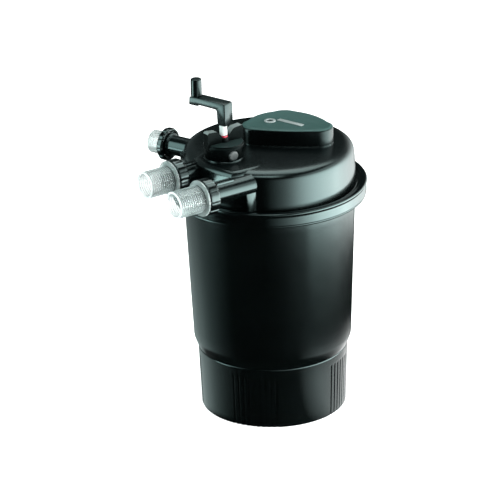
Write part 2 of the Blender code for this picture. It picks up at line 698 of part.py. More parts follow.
# ---------------------------------------------------------------- gear drive
def gear(teeth, phase, bore, z0, z1, centre):
    """Straight-flanked spur gear with a tooth centred on `phase` (radians)."""
    pitch_r = GEAR_MODULE * teeth / 2
    tip_r = pitch_r + TOOTH_ADDENDUM * GEAR_MODULE
    root_r = pitch_r - TOOTH_DEDENDUM * GEAR_MODULE
    pitch = 2 * math.pi / teeth
    flanks = ((root_r, -TOOTH_ROOT_HALF), (tip_r, -TOOTH_TIP_HALF),
              (tip_r, TOOTH_TIP_HALF), (root_r, TOOTH_ROOT_HALF))
    outline = [(r, phase + pitch * (i + share)) for i in range(teeth) for r, share in flanks]

    def outer(z):
        return [polar(r, angle, z) for r, angle in outline]

    def inner(z):
        return [polar(bore, angle, z) for _, angle in outline]

    bm = loft([outer(z0), outer(z1), inner(z1), inner(z0)], closed=True)
    return placed(bm, Matrix.Translation((*centre, 0)))


def build_gears():
    """The pinion's gap faces the cartridge gear's tooth on the line of centres."""
    drive_angle = math.atan2(VALVE_Y, VALVE_X)
    pinion = gear(PINION_TEETH, drive_angle + math.pi + math.pi / PINION_TEETH, 5.6,
                  GEAR_Z0 - 1, GEAR_Z1 + 1, (VALVE_X, VALVE_Y))
    add_object("drive_pinion", pinion, WHITE, origin=on_valve_axis(GEAR_Z0), sharp=None)
    wheel = gear(GEAR_TEETH, drive_angle, 40.0, GEAR_Z0, GEAR_Z1, (0, 0))
    add_object("cartridge_gear", wheel, WHITE, origin=(0, 0, GEAR_Z0), sharp=None)


# ------------------------------------------------------------ foam cartridge
def build_core_tube():
    """Centre tube with three rows of slots, the middle row turned by 45 degrees."""
    slots = []
    for row in range(3):
        z0 = 100 + row * 105
        for k in range(2):
            turn = Matrix.Rotation(math.radians(90 * k + 45 * (row % 2)), 4, "Z")
            slots.append(box(-40, 40, -5, 5, z0, z0 + 70, at=turn))
    core = combine(tube(26.4, 29.2, FOAM_Z0, 427.0, seg=24), cut=slots)
    add_object("core_tube", core, GREY, sharp=30)


def build_cartridge():
    top = [(29.6, 420.4), (114, 420.4), (114, 424.4), (60, 424.4), (60, 427.6), (29.6, 427.6)]
    add_object("cartridge_top_plate", lathe(top, seg=28, closed=True), GREY)
    add_object("cartridge_bottom_plate", tube(27.0, 116, 60.0, 64.0, seg=28), GREY)
    build_core_tube()
    height = (FOAM_Z1 - FOAM_Z0) / FOAM_RINGS
    for i in range(FOAM_RINGS):
        z0 = FOAM_Z0 + height * i
        foam = tube(FOAM_R_IN, FOAM_R_OUT, z0 + FOAM_GAP, z0 + height - FOAM_GAP, seg=28)
        add_object("foam_ring_%d" % (i + 1), foam, FOAM_RED if i % 2 else FOAM_BLUE)
    add_object("bottom_grid", tube(24.0, 128, 40.0, 44.0, seg=28), GREY)
    pivot = [(0, 9.4), (30, 9.4), (24, 16), (19, 50), (0, 50)]
    add_object("floor_pivot", lathe(pivot, seg=28), GREY)


# ---------------------------------------------------------- ultraviolet unit
def build_lamp():
    sleeve = [(0, 120.0), (10, 122.0), (16.5, 133.0), (16.5, 546.0),
              (15.0, 546.0), (15.0, 134.0), (0, 122.4)]
    add_object("quartz_sleeve", lathe(sleeve, seg=24), QUARTZ)
    lamp = [(0, 150), (7.0, 151), (8.5, 154), (8.5, 546.0), (0, 546.0)]
    add_object("uv_lamp", lathe(lamp, seg=24), WHITE)
    oring = [(17.0, 536.3), (18.7, 534.4), (20.4, 536.3), (18.7, 538.2)]
    add_object("sleeve_oring", lathe(oring, seg=28, closed=True), RUBBER)
    nut = [(17.2, 539.2), (20.5, 539.2), (20.5, 545.6), (22.6, 545.6),
           (22.6, 551.6), (17.2, 551.6)]
    add_object("sleeve_nut", lathe(nut, seg=24, closed=True), GREY)
    holder = [(0, 546.6), (14.6, 546.6), (14.6, 552.0), (17.0, 552.0), (17.0, 565.0), (0, 565.0)]
    add_object("lamp_holder", lathe(holder, seg=28), WHITE)


def build_ballast():
    u, v, middle = COVER_U, COVER_V, COVER_MID
    cover_frame = Matrix(((u.x, v.x, 0, middle.x), (u.y, v.y, 0, middle.y),
                          (0, 0, 1, 0), (0, 0, 0, 1)))
    add_object("ballast_unit", box(8, 64, 2, 24, COVER_Z0, 568, at=cover_frame), GREY, sharp=None)


def build_cover():
    """Hollow cover with a bezelled lens and a plain badge on its top."""
    bezel_at = Matrix.Translation(BEZEL_CENTRE)
    top = COVER_Z1
    outside = loft([
        cover_outline(-COVER_WALL, COVER_Z0), cover_outline(0.0, COVER_Z0),
        cover_outline(0.0, top - 3.0), cover_outline(-0.9, top - 0.9),
        cover_outline(-3.0, top)])
    inside = loft([cover_outline(-COVER_WALL, COVER_Z0 - 5),
                   cover_outline(-COVER_WALL, top - 3.6)])
    lens_hole = rod(5.6, top - 6, top + 5, seg=24, at=bezel_at)
    add_object("lamp_cover", combine(outside, cut=[inside, lens_hole]), COVER_SATIN, sharp=30)
    bezel = [(5.9, top + 0.3), (11.4, top + 0.3), (10.8, top + 1.6),
             (6.6, top + 1.9), (5.9, top + 1.2)]
    add_object("indicator_bezel", lathe(bezel, seg=32, closed=True, at=bezel_at), SILVER)
    lens = [(0, top - 4.0), (5.1, top - 4.0), (5.1, top + 0.6), (0, top + 1.0)]
    add_object("indicator_lens", lathe(lens, seg=24, at=bezel_at), LENS)
    badge_at = Matrix.Translation(BADGE_CENTRE) @ Matrix.Rotation(BADGE_TURN, 4, "Z")
    badge = box(-29.0, 29.0, -5.0, 5.0, top + 0.3, top + 1.2, at=badge_at)
    add_object("blank_badge", badge, SILVER, sharp=None)


def build_cable_gland():
    """Stepped gland on the cover's +v side."""
    direction = COVER_V.to_3d()
    point = Vector((*COVER_MID, 561.0)) + direction * 91.6
    profile = [(4.0, 0.9), (9.5, 0.9), (9.5, 6.0), (7.5, 8.0),
               (7.5, 16.0), (5.6, 20.0), (4.0, 20.0)]
    gland = lathe(profile, seg=24, closed=True, at=aim(point, direction))
    add_object("cable_gland", gland, RUBBER)


build_foot()
build_tank()
build_locking_ring()
build_head_shell()
for hose_port in HOSE_PORTS:
    build_hose_fittings(hose_port)
build_rinse_fittings()
build_selector()
build_valve()
build_crank()
build_gears()
build_cartridge()
build_lamp()
build_ballast()
build_cover()
build_cable_gland()
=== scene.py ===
"""A round black canister with a domed head, two hose ports, a rinse port, a selector
knob with a hand crank over it, and a lamp cover.

It stands on z = 0 with its axis on the origin. Ports A and B point to -Y and port C to
-X, turned a little to -Y. The selector and crank share one vertical valve axis on the
-Y side of the head. Shapes are in millimetres; shading, lights and camera in metres.
"""
import json
import math
from collections import namedtuple

import bmesh
import bpy
from mathutils import Matrix, Vector


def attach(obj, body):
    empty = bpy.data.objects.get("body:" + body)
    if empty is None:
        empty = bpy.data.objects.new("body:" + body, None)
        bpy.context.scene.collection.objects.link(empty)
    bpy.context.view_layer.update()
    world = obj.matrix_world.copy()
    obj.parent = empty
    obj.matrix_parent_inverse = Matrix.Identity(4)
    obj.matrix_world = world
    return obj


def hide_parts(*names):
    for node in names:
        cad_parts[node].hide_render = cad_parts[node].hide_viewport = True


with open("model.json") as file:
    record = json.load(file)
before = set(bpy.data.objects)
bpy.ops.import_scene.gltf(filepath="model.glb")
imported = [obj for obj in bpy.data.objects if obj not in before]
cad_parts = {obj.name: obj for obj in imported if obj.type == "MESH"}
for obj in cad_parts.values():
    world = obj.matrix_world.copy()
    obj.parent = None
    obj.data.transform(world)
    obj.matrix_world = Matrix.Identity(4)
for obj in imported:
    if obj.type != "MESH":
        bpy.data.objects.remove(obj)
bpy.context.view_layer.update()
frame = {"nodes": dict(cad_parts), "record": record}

MM = 0.001


# ----------------------------------------------------------- shared dimensions (mm)
def heading(degrees):
    """Level unit vector, turned from +X."""
    angle = math.radians(degrees)
    return Vector((math.cos(angle), math.sin(angle), 0))


VALVE_X = 12.1
VALVE_Y = -math.sqrt(112.5 ** 2 - VALVE_X ** 2)   # the valve axis is 112.5 from the centre
VALVE_AT = Matrix.Translation((VALVE_X, VALVE_Y, 0))

PORT_Z = 516.0
PORT_BORE = 15.5
PORT_R = 19.5
MINUS_Y = Vector((0, -1, 0))
PORT_A_START, PORT_A_LENGTH = Vector((107.0, -115.0, PORT_Z)), 94.0
PORT_B_START, PORT_B_LENGTH = Vector((-12.0, -90.0, PORT_Z)), 109.0
PORT_A_FACE = PORT_A_START + MINUS_Y * PORT_A_LENGTH
PORT_B_FACE = PORT_B_START + MINUS_Y * PORT_B_LENGTH
PORT_C_DIR = heading(202.0)
PORT_C_START = Vector((-158.0, -122.0, 518.0)) - PORT_C_DIR * 150.0
PORT_C_LENGTH = 153.0
PORT_C_FACE = PORT_C_START + PORT_C_DIR * PORT_C_LENGTH

HoseTail = namedtuple("HoseTail", "face length radius bore")
HOSE_TAILS = {"a": HoseTail(PORT_A_FACE, 82.0, 26.6, 22.4),
              "b": HoseTail(PORT_B_FACE, 79.0, 26.2, 22.2)}

# The lamp cover's outline is drawn in its own (u, v) plane and turned onto the head.
COVER_MID = Vector((27.4, 24.7))
COVER_U = Vector((0.67, 0.742)).normalized()
COVER_V = Vector((-COVER_U.y, COVER_U.x))
COVER_CORNERS = [((-59.0, 8.0), 30.0), ((59.0, 8.0), 30.0), ((-12.0, 56.0), 36.0)]  # centre, radius
COVER_BULGE = (4.0, 8.0, 8.0)   # how far each side bows out

# Level directions of the view: to the right of the picture, and towards the camera.
RIGHT = Vector((0.5646, 0.8253, 0))
TOWARD = Vector((0.8253, -0.5646, 0))


# -------------------------------------------------------------------- mesh helpers
def loft(rings, closed=False):
    """Skin over rings of points; a ring of one point is a tip."""
    mesh = bmesh.new()
    rows = [[mesh.verts.new(p) for p in ring] for ring in rings]
    pairs = list(zip(rows[:-1], rows[1:]))
    if closed:
        pairs.append((rows[-1], rows[0]))
    for low, high in pairs:
        n = max(len(low), len(high))
        for i in range(n):
            j = (i + 1) % n
            if len(low) == 1 and len(high) == 1:
                continue
            if len(low) == 1:
                mesh.faces.new((low[0], high[i], high[j]))
            elif len(high) == 1:
                mesh.faces.new((low[i], low[j], high[0]))
            else:
                mesh.faces.new((low[i], low[j], high[j], high[i]))
    if not closed:
        for row in (rows[0], rows[-1]):
            if len(row) > 2:
                mesh.faces.new(row)
    return mesh


def aligned(point, direction):
    """Matrix that puts the origin at `point` and +Z along `direction`."""
    turn = Vector((0, 0, 1)).rotation_difference(Vector(direction).normalized())
    return Matrix.Translation(Vector(point)) @ turn.to_matrix().to_4x4()


def circle(radius, z, segments, phase=0.0):
    if radius == 0:
        return [Vector((0, 0, z))]
    angles = [phase + 2 * math.pi * i / segments for i in range(segments)]
    return [Vector((radius * math.cos(a), radius * math.sin(a), z)) for a in angles]


def rounded(profile, radius, closed=False, steps=3):
    """Profile with each corner of more than 20 degrees replaced by a small arc."""
    out = []
    n = len(profile)
    for i, point in enumerate(profile):
        point = Vector(point)
        back = Vector(profile[i - 1]) - point
        ahead = Vector(profile[(i + 1) % n]) - point
        cut = min(radius, back.length * 0.4, ahead.length * 0.4)
        at_end = not closed and i in (0, n - 1)
        if at_end or cut < 0.08 or math.degrees(back.angle(ahead)) > 160:
            out.append(tuple(point))
            continue
        start, end = point + back.normalized() * cut, point + ahead.normalized() * cut
        for k in range(steps + 1):
            t = k / steps
            q = start * (1 - t) ** 2 + point * 2 * t * (1 - t) + end * t * t
            out.append((max(q.x, 0.0), q.y))
    return out


def densify(profile, step):
    """Profile with its long spans cut into pieces of `step` or a little more."""
    out = [profile[0]]
    for start, end in zip(profile[:-1], profile[1:]):
        start, end = Vector(start), Vector(end)
        count = max(1, int((end - start).length / step))
        for i in range(1, count + 1):
            out.append(tuple(start + (end - start) * i / count))
    return out


def lathe(profile, segments, closed=False, at=None, phase=0.0):
    """Profile of (radius, z) turned round Z, then placed by the matrix `at`."""
    mesh = loft([circle(r, z, segments, phase) for r, z in profile], closed)
    if at is not None:
        bmesh.ops.transform(mesh, matrix=at, verts=mesh.verts)
    return mesh


def turned_ring(profile, radius, segments, at=None, steps=3):
    """Closed section with its corners rounded, turned round Z."""
    return lathe(rounded(profile, radius, True, steps), segments, closed=True, at=at)


def cylinder(radius, z0, z1, segments, at=None, phase=0.0):
    return lathe([(0, z0), (radius, z0), (radius, z1), (0, z1)], segments, at=at, phase=phase)


def prism(outline, z0, z1, at=None):
    mesh = bmesh.new()
    face = mesh.faces.new([mesh.verts.new((x, y, z0)) for x, y in outline])
    made = bmesh.ops.extrude_face_region(mesh, geom=[face])
    top = [v for v in made["geom"] if isinstance(v, bmesh.types.BMVert)]
    bmesh.ops.translate(mesh, vec=(0, 0, z1 - z0), verts=top)
    if at is not None:
        bmesh.ops.transform(mesh, matrix=at, verts=mesh.verts)
    return mesh


def box(x0, x1, y0, y1, z0, z1):
    return prism([(x0, y0), (x1, y0), (x1, y1), (x0, y1)], z0, z1)


def above(z):
    """Edge test: the whole edge lies above z."""
    return lambda edge: all(v.co.z > z for v in edge.verts)


def bevel(mesh, width, chosen=lambda edge: True, segments=3):
    bmesh.ops.recalc_face_normals(mesh, faces=mesh.faces)
    edges = [e for e in mesh.edges if chosen(e)]
    if edges:
        bmesh.ops.bevel(mesh, geom=edges, offset=width, segments=segments,
                        profile=0.5, affect="EDGES", clamp_overlap=True)
    return mesh


def is_closed(mesh):
    return all(len(e.link_faces) == 2 for e in mesh.edges)


def temporary(mesh):
    """Outward-facing object made of `mesh`, for use in a Boolean."""
    bmesh.ops.recalc_face_normals(mesh, faces=mesh.faces)
    if mesh.calc_volume(signed=True) < 0:
        bmesh.ops.reverse_faces(mesh, faces=mesh.faces)
    data = bpy.data.meshes.new("tmp")
    mesh.to_mesh(data)
    mesh.free()
    ob = bpy.data.objects.new("tmp", data)
    bpy.context.scene.collection.objects.link(ob)
    return ob


def combine(base, *tools):
    """EXACT Booleans; made again with the hole-tolerant rule if an edge is left open."""
    target = temporary(base)
    made = [target]
    for operation, mesh in tools:
        tool = temporary(mesh)
        made.append(tool)
        modifier = target.modifiers.new("b", "BOOLEAN")
        modifier.operation, modifier.solver, modifier.object = operation, "EXACT", tool
    for tolerant in (False, True):
        for modifier in target.modifiers:
            modifier.use_hole_tolerant = tolerant
        bpy.context.view_layer.update()
        graph = bpy.context.evaluated_depsgraph_get()
        data = bpy.data.meshes.new_from_object(target.evaluated_get(graph))
        out = bmesh.new()
        out.from_mesh(data)
        bpy.data.meshes.remove(data)
        bmesh.ops.remove_doubles(out, verts=out.verts, dist=0.002)
        bmesh.ops.dissolve_degenerate(out, edges=out.edges, dist=0.002)
        if tolerant or is_closed(out):
            break
        out.free()
    for ob in made:
        data = ob.data
        bpy.data.objects.remove(ob, do_unlink=True)
        bpy.data.meshes.remove(data)
    return out


def piece(part, mesh, material, body, sharp=32.0, in_cad=True):
    """Make `mesh` (mm) an object riding on `body`. A part that is in the CAD stands for
    the node of its own name; edges over `sharp` degrees stay crisp."""
    bmesh.ops.recalc_face_normals(mesh, faces=mesh.faces)
    if is_closed(mesh) and mesh.calc_volume(signed=True) < 0:
        bmesh.ops.reverse_faces(mesh, faces=mesh.faces)
    bmesh.ops.scale(mesh, vec=(MM, MM, MM), verts=mesh.verts)
    name = part + "_fine" if in_cad else part
    data = bpy.data.meshes.new(name)
    mesh.to_mesh(data)
    mesh.free()
    ob = bpy.data.objects.new(name, data)
    bpy.context.scene.collection.objects.link(ob)
    data.materials.append(material)
    data.shade_smooth()
    data.set_sharp_from_angle(angle=math.radians(sharp))
    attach(ob, body)
    if in_cad:
        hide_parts(part)


# ------------------------------------------------------------------ shader helpers
class Nodes:
    """Builds the node tree of a material or world. Inputs take a value or a socket."""

    def __init__(self, owner, clear=False):
        owner.use_nodes = True
        self.tree = owner.node_tree
        if clear:
            self.tree.nodes.clear()

    def feed(self, node, inputs):
        for key, value in inputs.items():
            socket = node.inputs[key]
            if isinstance(value, bpy.types.NodeSocket):
                self.tree.links.new(value, socket)
            elif socket.type == "RGBA":
                socket.default_value = (*value, 1.0)
            else:
                socket.default_value = value

    def node(self, kind, inputs=None, **settings):
        made = self.tree.nodes.new("ShaderNode" + kind)
        for key, value in settings.items():
            setattr(made, key, value)
        self.feed(made, inputs or {})
        return made

    def coord(self):
        return self.node("TexCoord").outputs["Object"]

    def axis(self, vector, name):
        return self.node("SeparateXYZ", {0: vector}).outputs[name]

    def noise(self, coord, scale, detail=3.0, rough=0.5, stretch=None):
        if stretch:
            coord = self.node("Mapping", {"Vector": coord, "Scale": stretch}).outputs["Vector"]
        return self.node("TexNoise", {"Vector": coord, "Scale": scale, "Detail": detail,
                                      "Roughness": rough}).outputs["Fac"]

    def remap(self, value, span, to=(0.0, 1.0)):
        """Clamped straight-line map of `span` onto `to`."""
        made = self.node("MapRange", {
            "Value": value, "From Min": span[0], "From Max": span[1],
            "To Min": to[0], "To Max": to[1]})
        made.clamp = True
        return made.outputs["Result"]

    def math(self, operation, first, second):
        return self.node("Math", {0: first, 1: second}, operation=operation).outputs[0]

    def plus(self, first, second):
        return self.math("ADD", first, second)

    def times(self, first, second):
        return self.math("MULTIPLY", first, second)

    def vector(self, operation, *operands):
        made = self.node("VectorMath", dict(enumerate(operands)), operation=operation)
        return made.outputs["Value" if operation in ("DOT_PRODUCT", "LENGTH") else "Vector"]

    def mix(self, factor, first, second):
        """Colour mix; sockets 6 and 7 are its colour inputs."""
        inputs = {"Factor": factor, 6: first, 7: second}
        return self.node("Mix", inputs, data_type="RGBA").outputs[2]

    def bump(self, height, strength, distance, normal=None):
        made = self.node("Bump", {"Height": height, "Strength": strength, "Distance": distance})
        if normal:
            self.feed(made, {"Normal": normal})
        return made.outputs["Normal"]


def principled(name):
    material = bpy.data.materials.new(name)
    nodes = Nodes(material)
    return material, nodes, nodes.tree.nodes["Principled BSDF"]


def shade(colour, factor):
    return tuple(c * factor for c in colour)


# ----------------------------------------------------------------------- materials
def plastic(name, base, rough, worn, wear=0.6, edge=0.0011, grain=0.00004,
            grain_scale=1500.0, metallic=0.0, spread=0.25, vary=0.05, coat=0.0, dust=0.25,
            tint=(1, 1, 1), ior=1.5, top=None, top_rough=0.0, crest=None, crest_z=0.0):
    """Moulded plastic: cloudy colour, roughness patches, fine moulding grain,
    softened edges, paler scuffed edges and a little dust on upward faces.

    spread, vary: how far colour and roughness wander; edge: radius of the soft edges;
    top, top_rough: painted sheen colour and extra roughness of upward faces;
    crest: painted highlight colour on upward faces higher than crest_z, used only along with top.
    """
    material, nodes, surface = principled(name)
    coord = nodes.coord()
    cloud = nodes.noise(coord, scale=9.0, detail=4.0)
    colour = nodes.mix(nodes.remap(cloud, span=(0.3, 0.7)),
                       shade(base, 1 - spread), shade(base, 1 + spread))

    # scuffs, where the softened normal leans away from the true one
    soft = nodes.node("Bevel", {"Radius": edge}, samples=6).outputs["Normal"]
    normal = nodes.node("NewGeometry").outputs["Normal"]
    lean = nodes.math("SUBTRACT", 1.0, nodes.vector("DOT_PRODUCT", soft, normal))
    scuff = nodes.noise(coord, scale=70.0, detail=6.0, rough=0.65)
    scuffed = nodes.times(nodes.remap(lean, span=(0.03, 0.3), to=(0.0, wear)),
                          nodes.remap(scuff, span=(0.42, 0.62), to=(0.1, 1.0)))
    colour = nodes.mix(scuffed, colour, worn)

    # dust flecks on upward faces
    upward = nodes.axis(normal, "Z")
    fleck = nodes.noise(coord, scale=160.0, detail=5.0, rough=0.7)
    dusty = nodes.times(nodes.remap(upward, span=(0.5, 1.0), to=(0.0, dust)),
                        nodes.remap(fleck, span=(0.5, 0.72)))
    colour = nodes.mix(dusty, colour, tuple(c + 0.05 for c in worn))

    patch = nodes.noise(coord, scale=30.0, detail=5.0)
    roughness = nodes.remap(patch, span=(0.25, 0.75), to=(rough - vary * 0.8, rough + vary))
    if top:
        # spark-textured upward faces: duller than the polished sides, and painted paler with a cool
        # sheen where the top light falls
        flat = nodes.remap(upward, span=(0.55, 0.95))
        colour = nodes.mix(flat, colour, nodes.mix(fleck, shade(top, 0.8), top))
        if crest:
            # a painted highlight: upward-leaning faces above a given height, the blade's horns,
            # made paler where they catch the light
            high = nodes.times(nodes.remap(upward, span=(0.1, 0.4)),
                               nodes.remap(nodes.axis(coord, "Z"),
                                           span=(crest_z, crest_z + 0.007), to=(0.0, 0.9)))
            colour = nodes.mix(high, colour, crest)
        roughness = nodes.plus(roughness, nodes.times(flat, top_rough))
    roughness = nodes.plus(roughness, nodes.times(scuffed, 0.2))
    roughness = nodes.plus(roughness, nodes.times(dusty, 0.3))

    fine = nodes.noise(coord, scale=grain_scale, detail=2.0)
    wave = nodes.noise(coord, scale=14.0, detail=1.0)
    relief = nodes.plus(fine, nodes.times(wave, 1.5))
    nodes.feed(surface, {
        "Base Color": colour,
        "Roughness": roughness,
        "Normal": nodes.bump(relief, strength=0.6, distance=grain, normal=soft),
        "Metallic": metallic,
        "Coat Weight": coat,
        "Coat Roughness": 0.2,
        "Specular Tint": tint,
        "IOR": ior})
    material.diffuse_color = (*base, 1.0)
    return material


def clear_plastic(name, colour, face_on, grazing, rough, tail=None):
    """Thin clear moulding: opacity `face_on` seen squarely, rising to `grazing`, with faint
    cloudiness. A hose tail also gets painted shade in its rib roots and a painted highlight on its
    mouth."""
    material, nodes, surface = principled(name)
    coord = nodes.coord()
    facing = nodes.node("LayerWeight", {"Blend": 0.35}).outputs["Facing"]
    cloud = nodes.noise(coord, scale=40.0, detail=5.0)
    alpha = nodes.remap(facing, span=(0.05, 0.9), to=(face_on, grazing))
    alpha = nodes.plus(alpha, nodes.remap(cloud, span=(0.35, 0.7), to=(-0.05, 0.08)))
    tone = nodes.mix(nodes.remap(cloud, span=(0.3, 0.7)), shade(colour, 0.86), colour)
    if tail:
        radius = tail.radius * MM
        mouth_y = (tail.face.y - tail.length) * MM
        # distance from the tail's axis, which runs along Y
        offset = nodes.vector("SUBTRACT", coord, (tail.face.x * MM, 0.0, PORT_Z * MM))
        across = nodes.vector("MULTIPLY", offset, (1.0, 0.0, 1.0))
        distance = nodes.vector("LENGTH", across)
        # rib roots: painted shade, darker and a little more opaque
        root = nodes.times(
            nodes.remap(distance, span=(radius - 0.0012, radius - 0.0005), to=(1.0, 0.0)),
            nodes.remap(distance, span=(radius - 0.0022, radius - 0.0019)))
        tone = nodes.mix(nodes.times(root, 0.9), tone, shade(colour, 0.12))
        alpha = nodes.plus(alpha, nodes.times(root, 0.18))
        # the mouth's rim: a painted highlight, paler and more opaque
        rim = nodes.remap(nodes.axis(coord, "Y"), span=(mouth_y + 0.0022, mouth_y + 0.0008))
        tone = nodes.mix(rim, tone, tuple(min(1.0, c * 2.6) for c in colour))
        alpha = nodes.plus(alpha, nodes.times(rim, 0.5))
    fine = nodes.noise(coord, scale=500.0, detail=2.0)
    nodes.feed(surface, {
        "Alpha": alpha,
        "Base Color": tone,
        "Normal": nodes.bump(fine, strength=0.4, distance=0.00005),
        "Roughness": nodes.remap(cloud, span=(0.3, 0.7), to=(rough - 0.04, rough + 0.08)),
        "IOR": 1.9})
    material.diffuse_color = (*colour, 0.4)
    return material


def foam(name, colour):
    """Open-pored foam with dark pores and brownish-green stains."""
    material, nodes, surface = principled(name)
    coord = nodes.coord()
    cells = nodes.node("TexVoronoi", {"Scale": 420.0, "Vector": coord})
    pore = nodes.remap(cells.outputs["Distance"], span=(0.1, 0.7))
    stain = nodes.noise(coord, scale=18.0, detail=6.0)
    tone = nodes.mix(pore, shade(colour, 0.25), colour)
    stained = nodes.remap(stain, span=(0.5, 0.8), to=(0.0, 0.5))
    nodes.feed(surface, {
        "Base Color": nodes.mix(stained, tone, (0.09, 0.10, 0.06)),
        "Roughness": nodes.remap(stain, span=(0.3, 0.7), to=(0.88, 1.0)),
        "Normal": nodes.bump(pore, strength=1.0, distance=0.0008)})
    material.diffuse_color = (*colour, 1.0)
    return material


def steel(name):
    """Smeared stainless steel with fine turning lines round Z."""
    material, nodes, surface = principled(name)
    coord = nodes.coord()
    lines = nodes.noise(coord, scale=300.0, detail=4.0, rough=0.6, stretch=(1, 1, 14))
    smear = nodes.noise(coord, scale=25.0, detail=4.0)
    nodes.feed(surface, {
        "Base Color": nodes.mix(smear, (0.42, 0.43, 0.44), (0.66, 0.66, 0.65)),
        "Roughness": nodes.remap(lines, span=(0.3, 0.7), to=(0.2, 0.38)),
        "Metallic": 1.0,
        "Normal": nodes.bump(lines, strength=0.4, distance=0.00003)})
    return material


def black(name, base, rough, worn=(0.03, 0.035, 0.035), **look):
    """Dustless black plastic with cool reflections."""
    return plastic(name, base, rough, worn, tint=(0.74, 1.0, 0.985), dust=0.0, **look)


GLOSS_BASE = (0.0010, 0.0015, 0.0015)
# painted sheen for upward faces, where the top light falls
GLOSS_TOP_SHEEN = (0.0020, 0.0034, 0.0036)
HANDLE_BASE = (0.0012, 0.0018, 0.0018)

BLACK = black("m_black_moulding", GLOSS_BASE, rough=0.17, wear=0.4, vary=0.015,
              top=GLOSS_TOP_SHEEN, top_rough=0.08)
BLACK_RING = black("m_black_ring", GLOSS_BASE, rough=0.14, wear=0.5, vary=0.015,
                   top=GLOSS_TOP_SHEEN, top_rough=0.05, ior=1.58)
# its top colour is a painted sheen on the arm's upward faces
BLACK_ARM = black("m_black_arm", HANDLE_BASE, rough=0.20, vary=0.02,
                  top=(0.010, 0.015, 0.015), top_rough=0.08, ior=1.36)
# its top colour is a painted sheen on upward faces and its crest colour a painted highlight on the
# blade's horns
BLACK_KNOB = black("m_black_knob", HANDLE_BASE, rough=0.26, vary=0.03,
                   top=(0.020, 0.033, 0.032), top_rough=0.10, ior=1.12,
                   crest=(0.26, 0.30, 0.295), crest_z=0.587)
BLACK_NUT = black("m_black_nut", (0.0010, 0.0014, 0.0014), rough=0.17,
                  worn=(0.04, 0.045, 0.045), coat=0.2, edge=0.0009, wear=0.5, vary=0.03)
# its top colour is a painted sheen on upward faces
SATIN = black("m_black_satin", (0.0011, 0.0015, 0.0015), rough=0.20, vary=0.03,
              top=(0.005, 0.006, 0.006), top_rough=0.08)
# its pale teal top colour is a painted sheen on the cover's top, where the top light falls
COVER_SATIN = black("m_cover_satin", (0.0011, 0.0016, 0.0016), rough=0.24,
                    worn=(0.03, 0.04, 0.038), grain=0.00006, grain_scale=900.0,
                    edge=0.0012, vary=0.03, top=(0.043, 0.094, 0.087), top_rough=0.2, ior=1.3)
RUBBER = plastic("m_rubber", (0.012, 0.012, 0.012), rough=0.72, worn=(0.04, 0.04, 0.04),
                 grain=0.0001, dust=0.3)
WHITE = plastic("m_white_plastic", (0.80, 0.82, 0.81), rough=0.36, worn=(0.4, 0.4, 0.38),
                spread=0.06, dust=0.1)
RED = plastic("m_red_plastic", (0.52, 0.02, 0.05), rough=0.36, worn=(0.6, 0.2, 0.2),
              spread=0.15)
SILVER = plastic("m_silver_plastic", (0.36, 0.40, 0.395), rough=0.34, worn=(0.45, 0.48, 0.48),
                 metallic=0.2, spread=0.06, edge=0.0004, wear=0.3, dust=0.0)
GREY = plastic("m_grey_plastic", (0.034, 0.040, 0.040), rough=0.36, worn=(0.3, 0.31, 0.31),
               spread=0.12)
LENS = plastic("m_smoked_lens", (0.012, 0.035, 0.035), rough=0.06, worn=(0.1, 0.12, 0.12),
               grain=0.000005, coat=1.0)
CLEAR = clear_plastic("m_clear_plastic", (0.50, 0.56, 0.55), face_on=0.26, grazing=0.95,
                      rough=0.10)
CLEAR_TAILS = {
    tag: clear_plastic("m_clear_tail_" + tag, colour, face_on=0.25, grazing=0.84,
                       rough=0.10, tail=HOSE_TAILS[tag])
    for tag, colour in (("a", (0.60, 0.68, 0.67)), ("b", (0.57, 0.65, 0.64)))}
CLOUDY = clear_plastic("m_cloudy_plastic", (0.42, 0.47, 0.46), face_on=0.42, grazing=0.95,
                       rough=0.18)
QUARTZ = clear_plastic("m_quartz", (0.85, 0.90, 0.95), face_on=0.10, grazing=0.7, rough=0.05)
FOAM_BLUE = foam("m_foam_blue", (0.03, 0.10, 0.32))
FOAM_RED = foam("m_foam_red", (0.36, 0.05, 0.05))
STEEL = steel("m_stainless")

# The CAD pieces themselves take the material of their slot.
SLOT_MATERIALS = {
    "black_moulding": BLACK, "black_satin": SATIN, "cover_satin": COVER_SATIN,
    "rubber": RUBBER, "clear_plastic": CLEAR, "white_plastic": WHITE, "red_plastic": RED,
    "silver_plastic": SILVER, "stainless_steel": STEEL, "quartz_glass": QUARTZ,
    "foam_blue": FOAM_BLUE, "foam_red": FOAM_RED, "grey_plastic": GREY, "smoked_lens": LENS}
for subpart in frame["record"]["subparts"]:
    cad_materials = frame["nodes"][subpart["node"]].data.materials
    cad_materials.clear()
    cad_materials.append(SLOT_MATERIALS[subpart["material_slot"]])

# ---------------------------------------------------------------------- foot skirt
FOOT_H = 125.0
GROOVE_TOP = 108.0
GROOVE_RUNOUT = 3.0       # height over which a groove fades out at its top
GROOVE_DEPTH = 2.4
GROOVE_PITCH = 4.3        # degrees
GROOVE_HALF = 0.85        # degrees
GROOVE_PANELS = (-130.0, -49.6, 33.5, 130.4)   # middle of each panel, degrees
# across one groove: (share of its half width, share of its depth)
GROOVE_SECTION = ((-1.0, 0.0), (-0.82, 0.45), (-0.6, 0.9), (0.0, 1.0),
                  (0.6, 0.9), (0.82, 0.45), (1.0, 0.0))


def foot_r(z):
    return 143.0 + 4.5 * z / FOOT_H


def foot_points():
    """(angle, groove depth share) once round: four panels of nine rounded grooves."""
    out = []
    half_panel = 4 * GROOVE_PITCH + GROOVE_HALF
    for k, middle in enumerate(GROOVE_PANELS):
        for groove in range(-4, 5):
            angle = middle + groove * GROOVE_PITCH
            out += [(angle + GROOVE_HALF * f, depth) for f, depth in GROOVE_SECTION]
        following = GROOVE_PANELS[(k + 1) % 4] + (360.0 if k == 3 else 0.0)
        plain = following - middle - 2 * half_panel
        out += [(middle + half_panel + plain * i / 20, 0.0) for i in range(1, 20)]
    return out


